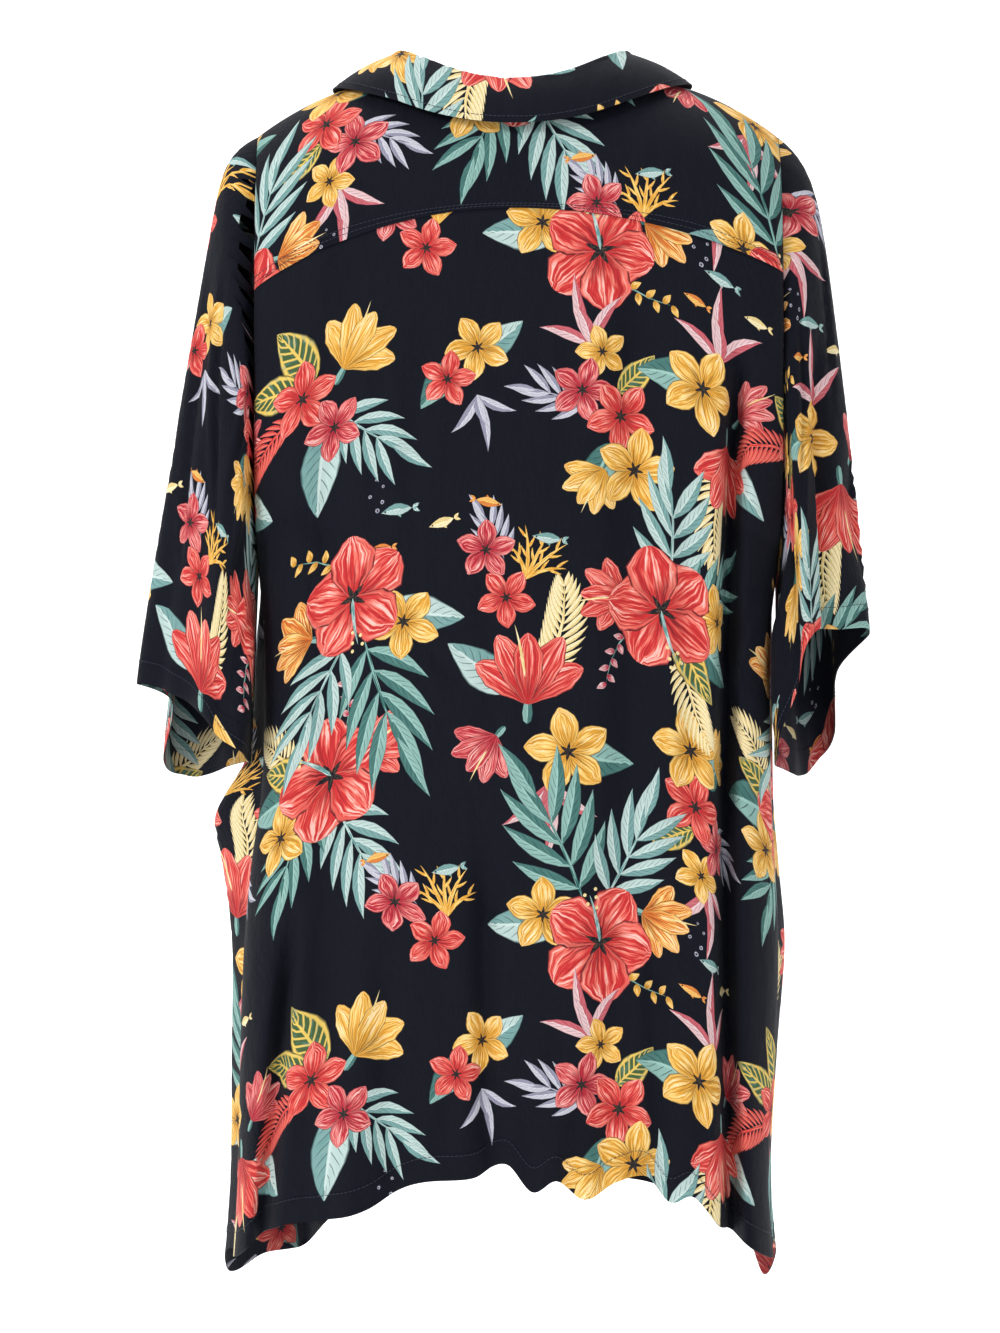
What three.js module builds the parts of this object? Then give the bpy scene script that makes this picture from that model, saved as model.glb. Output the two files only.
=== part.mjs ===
import * as THREE from "three";

// A men's short-sleeved camp shirt with a turned-down collar, hanging hollow as on a wearer.
// Millimetres, +Z up. The wearer faces +Y, so the back is towards -Y and +X is the wearer's right.
// The origin is midway between the shoulders, at the height where the shoulder line carries the shirt.
// A point of the body is given by across, its distance from the middle at shoulder height, and by
// down, the length of cloth from the shoulder line: above zero on the back, below zero on the fronts.

const cloth = 1.5;
const seamGap = 0.3;
const armLeft = 198;
const armRight = 206;
const neckHalf = 88;
const shoulderRound = 75;
const ridgeAtNeck = 34;
const ridgeAtArm = -17;
const ridgeFall = { left: { slope: 0.12, bend: 0.0027 }, right: { slope: 0.05, bend: 0.0029 } };
const armholeDrop = 323;
const sideHem = -880;
const backHemHalf = { left: 218, right: 202 };
const frontHemHalf = { left: 231, right: 212 };
const armBackLeft = 34;
const armBackRight = 48;
const armFront = 50;
const sectionPower = 3;
const swellPower = 1.5;
const foldSideFade = 1.5;
const strapDown = 30;
const backNeckDown = 80;
const neckSeamAngle = Math.acos(-strapDown / backNeckDown);
const yokeSeamMiddle = -79;
const yokeSeamBendLeft = 0.0015;
const yokeSeamBendRight = 0.0011;
const frontLap = 15;
const lapLift = 2.6;
const lapLiftFrom = -60;
const lapLiftWidth = 30;
const openNeckDown = 202;
const collarReach = 0.3;

const clamp = (value, low, high) => Math.min(high, Math.max(low, value));
const mix = (a, b, t) => a + (b - a) * t;
const ease = (t) => {
  const s = clamp(t, 0, 1);
  return s * s * (3 - 2 * s);
};

// A smooth curve through one column of a table, read along another column that rises row by row.
function curve(rows, along, column) {
  const at = rows.map((row) => row[along]);
  const value = rows.map((row) => row[column]);
  const slope = at.map((_, i) => {
    const a = Math.max(0, i - 1);
    const b = Math.min(at.length - 1, i + 1);
    return (value[b] - value[a]) / (at[b] - at[a]);
  });
  return (x) => {
    const s = clamp(x, at[0], at[at.length - 1]);
    let i = 0;
    while (i < at.length - 2 && s > at[i + 1]) i += 1;
    const h = at[i + 1] - at[i];
    const t = (s - at[i]) / h;
    const t2 = t * t;
    const t3 = t2 * t;
    return value[i] * (2 * t3 - 3 * t2 + 1) + slope[i] * h * (t3 - 2 * t2 + t)
      + value[i + 1] * (3 * t2 - 2 * t3) + slope[i + 1] * h * (t3 - t2);
  };
}

// One row for each height: side seams, depth of the back and the fronts, and how far the fronts swell.
const heights = [
  { z: -905, left: 218, right: 204, back: 92, front: 88, outLeft: 236, outRight: 216 },
  { z: -820, left: 213, right: 199, back: 88, front: 86, outLeft: 229, outRight: 209 },
  { z: -720, left: 211, right: 204, back: 86, front: 85, outLeft: 228, outRight: 214 },
  { z: -640, left: 208, right: 206, back: 84, front: 84, outLeft: 228, outRight: 221 },
  { z: -575, left: 202, right: 203, back: 82, front: 83, outLeft: 236, outRight: 215 },
  { z: -535, left: 196, right: 201, back: 80, front: 82, outLeft: 243, outRight: 211 },
  { z: -490, left: 193, right: 200, back: 79, front: 80, outLeft: 216, outRight: 210 },
  { z: -400, left: 193, right: 200, back: 78, front: 77, outLeft: 207, outRight: 209 },
  { z: -340, left: 198, right: 206, back: 76, front: 74, outLeft: 198, outRight: 206 },
  { z: -200, left: 198, right: 206, back: 73, front: 68, outLeft: 198, outRight: 206 },
  { z: -60, left: 198, right: 206, back: 66, front: 56, outLeft: 198, outRight: 206 },
  { z: 40, left: 198, right: 206, back: 60, front: 48, outLeft: 198, outRight: 206 },
];
const sizeAt = {};
for (const column of ["left", "right", "back", "front", "outLeft", "outRight"]) {
  sizeAt[column] = curve(heights, "z", column);
}

// The hem of the back and of the fronts, from the left side to the right.
const backHem = [
  { x: -backHemHalf.left, z: sideHem },
  { x: -181, z: -848 },
  { x: -144, z: -839 },
  { x: -110, z: -830 },
  { x: -75, z: -811 },
  { x: -28, z: -806 },
  { x: -5, z: -796 },
  { x: 14, z: -816 },
  { x: 32, z: -807 },
  { x: 52, z: -821 },
  { x: 78, z: -809 },
  { x: 100, z: -806 },
  { x: 117, z: -826 },
  { x: 135, z: -822 },
  { x: 157, z: -847 },
  { x: backHemHalf.right, z: sideHem },
];
const frontHem = [
  { x: -frontHemHalf.left, z: sideHem },
  { x: -222, z: -906 },
  { x: -200, z: -896 },
  { x: -178, z: -892 },
  { x: -150, z: -868 },
  { x: -110, z: -848 },
  { x: -60, z: -834 },
  { x: 0, z: -826 },
  { x: 60, z: -832 },
  { x: 120, z: -844 },
  { x: 170, z: -862 },
  { x: 190, z: -884 },
  { x: 200, z: -910 },
  { x: frontHemHalf.right, z: sideHem },
];
const hemAt = { back: curve(backHem, "x", "z"), front: curve(frontHem, "x", "z") };

// Folds that hang down a piece: where each starts and ends, its place at the start, half way and at
// the end, how deep it goes in (below zero it stands out) and its half width.
const backFolds = [
  { start: -165, end: -980, x0: 172, x1: 162, x2: 172, deep: 32, wide: 7 },
  { start: -590, end: -980, x0: -163, x1: -184, x2: -201, deep: 18, wide: 7 },
  { start: -120, end: -740, x0: -144, x1: -138, x2: -142, deep: 9, wide: 17 },
  { start: -40, end: -300, x0: -150, x1: -146, x2: -150, deep: -4, wide: 14 },
  { start: -600, end: -980, x0: -97, x1: -92, x2: -78, deep: 7, wide: 11 },
  { start: -530, end: -980, x0: -21, x1: -19, x2: -10, deep: 10, wide: 9 },
  { start: -110, end: -820, x0: 94, x1: 88, x2: 68, deep: 10, wide: 18 },
  { start: -560, end: -980, x0: 106, x1: 108, x2: 116, deep: 8, wide: 11 },
  { start: -260, end: -560, x0: 128, x1: 133, x2: 130, deep: 5, wide: 10 },
  { start: -700, end: -980, x0: 30, x1: 26, x2: 14, deep: -7, wide: 12 },
  { start: -690, end: -980, x0: -120, x1: -124, x2: -128, deep: -6, wide: 13 },
  { start: -720, end: -980, x0: 60, x1: 56, x2: 52, deep: -6, wide: 9 },
];
const frontFolds = [
  { start: -90, end: -760, x0: -140, x1: -132, x2: -138, deep: 12, wide: 15 },
  { start: -240, end: -980, x0: -168, x1: -160, x2: -170, deep: 20, wide: 9 },
  { start: -430, end: -980, x0: -88, x1: -92, x2: -104, deep: 10, wide: 12 },
  { start: -560, end: -980, x0: -52, x1: -58, x2: -62, deep: -7, wide: 11 },
  { start: -120, end: -700, x0: 128, x1: 136, x2: 126, deep: 11, wide: 16 },
  { start: -300, end: -980, x0: 166, x1: 158, x2: 168, deep: 18, wide: 8 },
  { start: -380, end: -980, x0: 78, x1: 84, x2: 96, deep: 9, wide: 13 },
  { start: -620, end: -980, x0: 52, x1: 56, x2: 64, deep: -8, wide: 10 },
];
const foldFade = 90;

function foldMiddle(fold, z) {
  const t = clamp((fold.start - z) / (fold.start - fold.end), 0, 1);
  return fold.x0 * (1 - t) * (1 - 2 * t) + fold.x1 * 4 * t * (1 - t) + fold.x2 * t * (2 * t - 1);
}
function foldDepth(folds, x, z) {
  let sum = 0;
  for (const fold of folds) {
    if (z >= fold.start || z <= fold.end) continue;
    const middle = foldMiddle(fold, z);
    const fade = ease((fold.start - z) / foldFade) * ease((z - fold.end) / foldFade);
    sum += fold.deep * fade * Math.exp(-(((x - middle) / fold.wide) ** 2));
  }
  return sum;
}

const sideOf = (across) => (across < 0 ? "left" : "right");
const armSize = (across) => (across < 0 ? armLeft : armRight);

function ridgeHeight(across) {
  const past = Math.max(0, Math.abs(across) - neckHalf);
  const fall = ridgeFall[sideOf(across)];
  return ridgeAtNeck - fall.slope * past - fall.bend * past * past;
}

// Length of cloth over the rounded shoulder for a drop below the shoulder line, and back.
const roundLength = shoulderRound * Math.PI / 2;
const downOf = (drop) => (drop < shoulderRound
  ? shoulderRound * Math.acos(1 - drop / shoulderRound)
  : roundLength + drop - shoulderRound);
const dropOf = (down) => (down < roundLength
  ? shoulderRound * (1 - Math.cos(down / shoulderRound))
  : shoulderRound + down - roundLength);

function hemDrop(half, across) {
  const hemHalf = (half === "back" ? backHemHalf : frontHemHalf)[sideOf(across)];
  return ridgeHeight(across) - hemAt[half](hemHalf * across / armSize(across));
}
const sideDrop = ridgeAtArm - sideHem;
const armFraction = armholeDrop / sideDrop;

// A point of the body's outer side.
function bodyPoint(across, down, lift = 0) {
  const half = down > 0 ? "back" : "front";
  const outward = down > 0 ? -1 : 1;
  const drop = dropOf(Math.abs(down));
  const fraction = clamp(across / armSize(across), -1, 1);
  const fallen = drop / hemDrop(half, across);
  const seamZ = ridgeAtArm - fallen * sideDrop;
  const z = ridgeHeight(across) - drop;
  const seamX = across < 0 ? sizeAt.left(seamZ) : sizeAt.right(seamZ);
  const thick = (1 - Math.abs(fraction) ** sectionPower) ** (1 / sectionPower);
  const armWide = half === "front" ? armFront : (across < 0 ? armBackLeft : armBackRight);
  const onArmhole = clamp(2 * fallen / armFraction - 1, -1, 1);
  const edge = armWide * Math.sqrt(1 - onArmhole * onArmhole);
  const shoulder = Math.sin(clamp(Math.abs(down) / shoulderRound, 0, Math.PI / 2));
  let x = fraction * seamX;
  if (half === "front") {
    const out = across < 0 ? sizeAt.outLeft(seamZ) : sizeAt.outRight(seamZ);
    x += Math.sign(across) * (out - seamX) * Math.sin(Math.PI * thick) ** swellPower;
  }
  const folds = half === "back" ? backFolds : frontFolds;
  const folded = foldDepth(folds, x, z) * Math.min(1, thick * foldSideFade);
  const deep = sizeAt[half](z) * shoulder * thick - folded;
  const y = outward * (edge * (1 - thick) + deep + lift);
  return new THREE.Vector3(x, y, z);
}

// The neckline, from the left open-neck line round the back (0) to the right one.
function neckPlace(turn) {
  const side = Math.sign(turn);
  const way = Math.abs(turn);
  const seam = { across: neckHalf * Math.sin(neckSeamAngle), down: -strapDown };
  if (way <= 1) {
    const angle = turn * neckSeamAngle;
    return { across: neckHalf * Math.sin(angle), down: backNeckDown * Math.cos(angle) };
  }
  const t = way - 1;
  return { across: side * mix(seam.across, -frontLap, t), down: mix(seam.down, -openNeckDown, t) };
}

// The inward direction at a point of the body.
const probe = 0.4;
function bodyInward(across, down) {
  const low = Math.max(-armLeft, across - probe);
  const high = Math.min(armRight, across + probe);
  const along = bodyPoint(high, down).sub(bodyPoint(low, down));
  const downward = bodyPoint(across, down + probe).sub(bodyPoint(across, down - probe));
  return along.cross(downward).normalize();
}

// The inward direction at each point of a grid, whose rows may close on themselves.
function gridInward(rows, { flip = false, closed = false } = {}) {
  const last = rows.length - 1;
  const count = rows[0].length;
  return rows.map((row, r) => row.map((_, c) => {
    const next = closed ? (c + 1) % count : Math.min(count - 1, c + 1);
    const before = closed ? (c + count - 1) % count : Math.max(0, c - 1);
    const along = row[next].clone().sub(row[before]);
    const downward = rows[Math.min(last, r + 1)][c].clone().sub(rows[Math.max(0, r - 1)][c]);
    return along.cross(downward).multiplyScalar(flip ? -1 : 1).normalize();
  }));
}

// A wall between rows of outer points and the same rows moved in by the cloth's thickness.
function wall(rows, inward, { flip = false, closed = false } = {}) {
  const last = rows.length - 1;
  const count = rows[0].length;
  const inner = rows.map((row, r) => row.map((point, c) => (
    point.clone().addScaledVector(inward[r][c], cloth)
  )));
  const position = [];
  for (const point of [...rows.flat(), ...inner.flat()]) position.push(point.x, point.y, point.z);
  const inside = rows.length * count;
  const index = [];
  const quad = (a, b, c, d) => {
    if (flip) index.push(a, c, b, a, d, c);
    else index.push(a, b, c, a, c, d);
  };
  const columns = closed ? count : count - 1;
  for (let r = 0; r < last; r += 1) {
    for (let c = 0; c < columns; c += 1) {
      const a = r * count + c;
      const d = r * count + (c + 1) % count;
      quad(a, a + count, d + count, d);
      quad(inside + d, inside + d + count, inside + a + count, inside + a);
    }
  }
  for (let c = 0; c < columns; c += 1) {
    const topNext = (c + 1) % count;
    const low = last * count + c;
    const lowNext = last * count + topNext;
    quad(inside + c, c, topNext, inside + topNext);
    quad(low, inside + low, inside + lowNext, lowNext);
  }
  for (let r = 0; r < last && !closed; r += 1) {
    const left = r * count;
    const right = left + count - 1;
    quad(left, inside + left, inside + left + count, left + count);
    quad(inside + right, right, right + count, inside + right + count);
  }
  const geometry = new THREE.BufferGeometry();
  geometry.setAttribute("position", new THREE.Float32BufferAttribute(position, 3));
  geometry.setIndex(index);
  geometry.computeVertexNormals();
  return geometry;
}

const shirt = new THREE.Group();
const printed = { color: 0x10141f, roughness: 0.78, metalness: 0 };
function add(name, geometry, look = printed) {
  const mesh = new THREE.Mesh(geometry, new THREE.MeshStandardMaterial(look));
  mesh.name = name;
  shirt.add(mesh);
  return mesh;
}

const spread = (from, to, steps) => (
  Array.from({ length: steps + 1 }, (_, i) => mix(from, to, i / steps))
);

// A wall on the body from rows of places. Its inward steps never cross the plane of an armhole or
// of a side seam that the piece is sewn to, and there it keeps half of the seam's gap.
function bodyWall(places, { flip = false, lift = () => 0, armRow = Infinity, sides = [], seamSide = 0 }) {
  const end = places[0].length - 1;
  const edge = (c) => (c === 0 && sides.includes("left")) || (c === end && sides.includes("right"));
  const rows = places.map((row, r) => row.map(({ across, down }, c) => {
    const point = bodyPoint(across, down, lift(across));
    if (edge(c) && r >= armRow) point.y += seamSide * seamGap / 2;
    return point;
  }));
  const inward = places.map((row, r) => row.map(({ across, down }, c) => {
    const step = bodyInward(across, down);
    if (!edge(c)) return step;
    if (r <= armRow) step.x = across < 0 ? Math.max(0, step.x) : Math.min(0, step.x);
    if (r >= armRow) step.y = seamSide < 0 ? Math.min(0, step.y) : Math.max(0, step.y);
    return step.normalize();
  }));
  return wall(rows, inward, { flip });
}

// Places across the back, closer together in the two deep folds and at the sides.
const leftFold = [-24, -14, -7, 0, 7, 14, 24];
const rightFold = [-26, -16, -9, -4.5, 0, 4.5, 9, 16, 26];
const sideFractions = [1, 0.995, 0.975, 0.94];
const foldAcrossLeft = backFolds[1].x0;
const foldAcrossRight = backFolds[0].x0;
const foldReach = 0.92;
const middleHalf = 136;
const middleSteps = 18;
const acrossBack = [
  ...sideFractions.map((f) => -f * armLeft),
  ...leftFold.map((d) => foldAcrossLeft + d).filter((x) => x > -foldReach * armLeft),
  ...spread(-middleHalf, middleHalf, middleSteps).slice(1, -1),
  ...rightFold.map((d) => foldAcrossRight + d).filter((x) => x < foldReach * armRight),
  ...[...sideFractions].reverse().map((f) => f * armRight),
];

// Yoke: its lower seam bows, and its columns fan out from the neck to that seam.
const yokeFan = 0.35;
const yokeSteps = 8;
function yokeSeamDown(across) {
  const bend = across < 0 ? yokeSeamBendLeft : yokeSeamBendRight;
  return downOf(ridgeHeight(across) - (yokeSeamMiddle - bend * across * across));
}
const neckTurns = spread(-1, 1, 20);
const neckSeamAcross = neckHalf * Math.sin(neckSeamAngle);
const strapSteps = [1, 0.985, 0.95, 0.87, 0.75, 0.6, 0.45, 0.3, 0.15];
const strapAcross = (arm) => strapSteps.map((f) => mix(neckSeamAcross, arm, f));
const yokeTop = [
  ...strapAcross(armLeft).map((x) => ({ across: -x, down: -strapDown })),
  ...neckTurns.map((turn) => neckPlace(turn)),
  ...strapAcross(armRight).reverse().map((x) => ({ across: x, down: -strapDown })),
];
const yokeLow = yokeTop.map((_, i) => {
  const t = 2 * i / (yokeTop.length - 1) - 1;
  return armSize(t) * mix(t, Math.sin(t * Math.PI / 2), yokeFan);
});
const yokeRows = spread(0, 1, yokeSteps).map((t) => yokeTop.map((top, i) => {
  const low = yokeLow[i];
  return { across: mix(top.across, low, ease(t)), down: mix(top.down, yokeSeamDown(low) - seamGap, t) };
}));
add("back_yoke", bodyWall(yokeRows, { sides: ["left", "right"] }));

// Back, from the yoke to the hem
const armholeSteps = 7;
const bodySteps = 15;
function panelRows(places, half, crowd) {
  const side = half === "back" ? 1 : -1;
  const rows = [];
  for (let j = 0; j <= armholeSteps + bodySteps; j += 1) {
    rows.push(places.map((place) => {
      const hem = hemDrop(half, place.across);
      if (j > armholeSteps) {
        const t = (j - armholeSteps) / bodySteps;
        return { across: place.across, down: side * downOf(mix(armFraction, 1, t) * hem) };
      }
      const t = (j / armholeSteps) ** crowd;
      const across = mix(place.top, place.across, ease(t));
      return { across, down: side * mix(Math.abs(place.down), downOf(armFraction * hem), t) };
    }));
  }
  return rows;
}
const backPlaces = acrossBack.map((across) => ({ top: across, across, down: yokeSeamDown(across) }));
// Moves the places of a row sideways so that they keep to the two deep folds.
function followFolds({ across, down }) {
  const left = across < 0;
  const z = ridgeHeight(across) - dropOf(down);
  const arm = left ? -armLeft : armRight;
  const seamX = left ? -sizeAt.left(z) : sizeAt.right(z);
  const from = left ? foldAcrossLeft : foldAcrossRight;
  const to = foldMiddle(backFolds[left ? 1 : 0], z) * arm / seamX;
  const t = Math.abs(across) < Math.abs(from) ? across / from : (arm - across) / (arm - from);
  return { across: across + (to - from) * ease(t), down };
}
const backRows = panelRows(backPlaces, "back", 1).map((row, r) => (r === 0 ? row : row.map(followFolds)));
add("back_panel", bodyWall(backRows, {
  sides: ["left", "right"], armRow: armholeSteps, seamSide: -1,
}));

// Fronts: the wearer's left laps over the right
const frontCrowd = 1.4;
const frontSpread = 0.8;
const openSteps = 12;
const overlapLift = (across) => lapLift * ease((across - lapLiftFrom) / lapLiftWidth);
function frontPanel(side) {
  const arm = side < 0 ? armLeft : armRight;
  const seam = strapAcross(arm).map((x) => ({ top: side * x, down: -strapDown - seamGap }));
  const open = spread(1, 2, openSteps).map((turn) => {
    const place = neckPlace(side * turn);
    return { top: place.across, down: place.down - seamGap };
  });
  const top = [...seam, ...open];
  const places = top.map((place, i) => {
    const t = i / (top.length - 1);
    const fraction = Math.cos(t * Math.PI / 2) ** frontSpread;
    return { ...place, across: side * mix(-frontLap, arm, fraction) };
  });
  places[places.length - 1].top = -side * frontLap;
  if (side > 0) places.reverse();
  return bodyWall(panelRows(places, "front", frontCrowd), {
    flip: true,
    lift: side < 0 ? overlapLift : () => 0,
    sides: [side < 0 ? "left" : "right"],
    armRow: armholeSteps,
    seamSide: 1,
  });
}
add("front_left", frontPanel(-1));
add("front_right", frontPanel(1));

// Sleeves: open tubes from the armhole to a slanting cuff. Angles run from the shoulder line (0)
// over the back (90) and the armpit (180) to the front (270).
const cuffs = {
  left: [
    { angle: 0, x: -291, y: -15, z: -438 },
    { angle: 40, x: -266, y: -34, z: -444 },
    { angle: 80, x: -238, y: -54, z: -460 },
    { angle: 120, x: -222, y: -60, z: -478 },
    { angle: 155, x: -207, y: -50, z: -492 },
    { angle: 185, x: -202, y: -15, z: -500 },
    { angle: 220, x: -208, y: 4, z: -499 },
    { angle: 250, x: -222, y: 24, z: -503 },
    { angle: 285, x: -245, y: 50, z: -511 },
    { angle: 312, x: -265, y: 64, z: -512 },
    { angle: 336, x: -278, y: 42, z: -499 },
    { angle: 350, x: -267, y: 10, z: -452 },
  ],
  right: [
    { angle: 0, x: 277, y: -12, z: -399 },
    { angle: 35, x: 251, y: -34, z: -396 },
    { angle: 70, x: 231, y: -46, z: -397 },
    { angle: 100, x: 221, y: -52, z: -414 },
    { angle: 130, x: 214, y: -52, z: -448 },
    { angle: 160, x: 206, y: -38, z: -490 },
    { angle: 185, x: 203, y: -10, z: -500 },
    { angle: 220, x: 212, y: 8, z: -505 },
    { angle: 250, x: 224, y: 34, z: -511 },
    { angle: 280, x: 237, y: 60, z: -510 },
    { angle: 305, x: 248, y: 66, z: -500 },
    { angle: 328, x: 258, y: 50, z: -478 },
    { angle: 347, x: 256, y: 18, z: -428 },
  ],
};
const sleeveFolds = {
  left: [
    { angle: 62, wide: 15, from: 0.3, to: 1.3, deep: 5 },
    { angle: 28, wide: 10, from: 0.15, to: 1.2, deep: 4 },
    { angle: 112, wide: 14, from: 0.1, to: 0.9, deep: -4 },
    { angle: 300, wide: 18, from: 0.2, to: 1.3, deep: 7 },
    { angle: 255, wide: 16, from: 0.3, to: 1.2, deep: 5 },
  ],
  right: [
    { angle: 47, wide: 9, from: 0.3, to: 1.4, deep: 13 },
    { angle: 82, wide: 12, from: 0.1, to: 1.2, deep: -4 },
    { angle: 6, wide: 16, from: 0.55, to: 0.98, deep: 8 },
    { angle: 290, wide: 18, from: 0.2, to: 1.3, deep: 7 },
    { angle: 245, wide: 15, from: 0.3, to: 1.2, deep: 5 },
  ],
};
const capSwell = { left: 24, right: 27 };
const capStart = { left: 0.03, right: 0.06 };
const backPuff = { left: 17, right: 5 };
const frontPuff = 7;
const puffStart = 0.04;
const capFade = 0.8;
const puffFade = 0.5;
const sleeveFoldFade = 0.25;
const full = 360;
const radians = Math.PI / 180;

function cuffCurve(rows) {
  const tail = rows.slice(-2).map((row) => ({ ...row, angle: row.angle - full }));
  const head = rows.slice(0, 3).map((row) => ({ ...row, angle: row.angle + full }));
  const around = [...tail, ...rows, ...head];
  return ["x", "y", "z"].map((column) => curve(around, "angle", column));
}
const cuffAt = { left: cuffCurve(cuffs.left), right: cuffCurve(cuffs.right) };

function armholePoint(side, angle) {
  const across = side === "left" ? -armLeft : armRight;
  const half = angle <= full / 2 ? 1 : -1;
  const armDrop = armFraction * hemDrop(half > 0 ? "back" : "front", across);
  const drop = armDrop / 2 * (1 - Math.cos(angle * radians));
  const point = bodyPoint(across, half * downOf(drop));
  point.x += Math.sign(across) * seamGap;
  return point;
}

function sleevePoint(side, angle, t) {
  const way = side === "left" ? -1 : 1;
  const top = armholePoint(side, angle);
  const low = new THREE.Vector3(...cuffAt[side].map((at) => at(angle)));
  const out = Math.cos(angle * radians);
  const back = Math.sin(angle * radians);
  const point = top.lerp(low, t);
  const cap = capSwell[side] * (1 - Math.exp(-t / capStart[side])) * (1 - t) ** capFade;
  point.x += way * cap * Math.max(0, out);
  const fullPuff = back > 0 ? backPuff[side] : frontPuff;
  point.y -= back * fullPuff * (1 - Math.exp(-t / puffStart)) * (1 - t) ** puffFade;
  let deep = 0;
  for (const fold of sleeveFolds[side]) {
    const fade = ease((t - fold.from) / sleeveFoldFade) * ease((fold.to - t) / sleeveFoldFade);
    deep += fold.deep * fade * Math.exp(-(((angle - fold.angle) / fold.wide) ** 2));
  }
  point.x -= way * out * deep;
  point.y += back * deep;
  return point;
}

// Angles at which the armhole edges of the yoke, the back and the front have their points.
function armholeAngles(side) {
  const across = side === "left" ? -armLeft : armRight;
  const column = (rows) => rows.map((row) => row.at(side === "left" ? 0 : -1));
  const frontEdge = panelRows([{ top: across, across, down: -strapDown - seamGap }], "front", frontCrowd);
  const places = [
    ...column(yokeRows).slice(0, -1),
    ...column(backRows).slice(0, armholeSteps + 1),
    ...frontEdge.slice(1, armholeSteps).map((row) => row[0]),
  ];
  const angles = places.map(({ down }) => {
    const armDrop = armFraction * hemDrop(down > 0 ? "back" : "front", across);
    const angle = Math.acos(clamp(1 - 2 * dropOf(Math.abs(down)) / armDrop, -1, 1)) / radians;
    return down >= 0 ? angle : full - angle;
  });
  return angles.sort((a, b) => a - b);
}

const sleeveSteps = 12;
const sleeveCrowd = 1.5;
for (const side of ["left", "right"]) {
  const angles = armholeAngles(side);
  const flip = side === "left";
  const rows = spread(0, 1, sleeveSteps).map((t) => (
    angles.map((angle) => sleevePoint(side, angle, t ** sleeveCrowd))
  ));
  const inward = gridInward(rows, { flip: !flip, closed: true });
  for (const step of inward[0]) {
    step.x = flip ? Math.min(0, step.x) : Math.max(0, step.x);
    step.normalize();
  }
  add(`sleeve_${side}`, wall(rows, inward, { flip: !flip, closed: true }));
}

// Collar: a stand round the neck, a rolled fold and a leaf that falls outside it.
const collarSizes = [
  { turn: 0, stand: 25, off: 11 },
  { turn: 0.4, stand: 24, off: 7 },
  { turn: 0.8, stand: 16, off: 3.6 },
  { turn: 1, stand: 13, off: 3.6 },
  { turn: 1.3, stand: 5, off: 4.2 },
];
const standAt = curve(collarSizes, "turn", "stand");
const offAt = curve(collarSizes, "turn", "off");
const leafAcross = 139;
const leafDown = 95;
const collarTip = { across: 98, down: -104 };
const rollRadius = 2.2;
const standLean = 3;
const standClear = 0.8;
const leafSwell = 2;
const collarEnd = 1 + collarReach;

function leafPlace(turn) {
  const angle = clamp(turn, -1, 1) * neckSeamAngle;
  const place = { across: leafAcross * Math.sin(angle), down: leafDown * Math.cos(angle) };
  const t = Math.max(0, Math.abs(turn) - 1) / collarReach;
  return {
    across: mix(place.across, Math.sign(turn) * collarTip.across, t),
    down: mix(place.down, collarTip.down, t),
  };
}
const standRows = [0, 0.5];
const rollAngles = [180, 120, 60, 0];
const leafRows = [0.33, 0.66, 1];
function collarColumn(turn) {
  const up = new THREE.Vector3(0, 0, 1);
  const place = neckPlace(turn);
  const neck = bodyPoint(place.across, place.down);
  const out = new THREE.Vector3(neck.x, neck.y, 0).normalize();
  neck.addScaledVector(bodyInward(place.across, place.down), -1).addScaledVector(up, standClear);
  const heart = neck.clone()
    .addScaledVector(out, standLean)
    .addScaledVector(up, standAt(Math.abs(turn)) - rollRadius);
  const roll = rollAngles.map((angle) => heart.clone()
    .addScaledVector(out, rollRadius * Math.cos(angle * radians))
    .addScaledVector(up, rollRadius * Math.sin(angle * radians)));
  const leaf = leafPlace(turn);
  const edge = bodyPoint(leaf.across, leaf.down)
    .addScaledVector(bodyInward(leaf.across, leaf.down), -offAt(Math.abs(turn)));
  const swell = out.clone().add(up).multiplyScalar(leafSwell);
  const leafPoint = (t) => roll.at(-1).clone().lerp(edge, t).addScaledVector(swell, Math.sin(t * Math.PI));
  return [
    ...standRows.map((t) => neck.clone().lerp(roll[0], t)),
    ...roll,
    ...leafRows.map(leafPoint),
  ];
}
const collarTurns = [
  ...spread(-collarEnd, -1, 3).slice(0, -1),
  ...neckTurns,
  ...spread(1, collarEnd, 3).slice(1),
];
const collarColumns = collarTurns.map(collarColumn);
const collarRows = collarColumns[0].map((_, r) => collarColumns.map((column) => column[r]));
add("collar", wall(collarRows, gridInward(collarRows)));

// Lapels: the tops of the fronts, turned out and lying on them
const lapelOff = 2.4;
const lapelTip = { across: 96, down: -122 };
const lapelEnds = { left: 0.98, right: 0.8 };
const lapelHem = 4;
const lapelGap = 0.03;
const lapelBow = 1.15;
const lapelSteps = { down: 8, across: 4 };
for (const [side, end] of Object.entries(lapelEnds)) {
  const way = side === "left" ? -1 : 1;
  const rows = spread(0, 1, lapelSteps.down).map((f) => {
    const inner = neckPlace(way * mix(collarEnd + lapelGap, 1 + end, f));
    const low = neckPlace(way * (1 + end));
    const outer = {
      across: mix(way * lapelTip.across, low.across + way * lapelHem, f),
      down: mix(lapelTip.down, low.down - 1, f ** lapelBow),
    };
    return spread(0, 1, lapelSteps.across).map((c) => ({
      across: mix(inner.across + way, outer.across, c),
      down: mix(inner.down - 1, outer.down, c),
    }));
  });
  const points = rows.map((row) => row.map(({ across, down }) => {
    const lift = side === "left" ? overlapLift(across) : 0;
    return bodyPoint(across, down, lift).addScaledVector(bodyInward(across, down), -lapelOff - cloth);
  }));
  const flip = side === "right";
  const inward = rows.map((row) => row.map(({ across, down }) => bodyInward(across, down)));
  add(`lapel_${side}`, wall(points, inward, { flip }));
}

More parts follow.
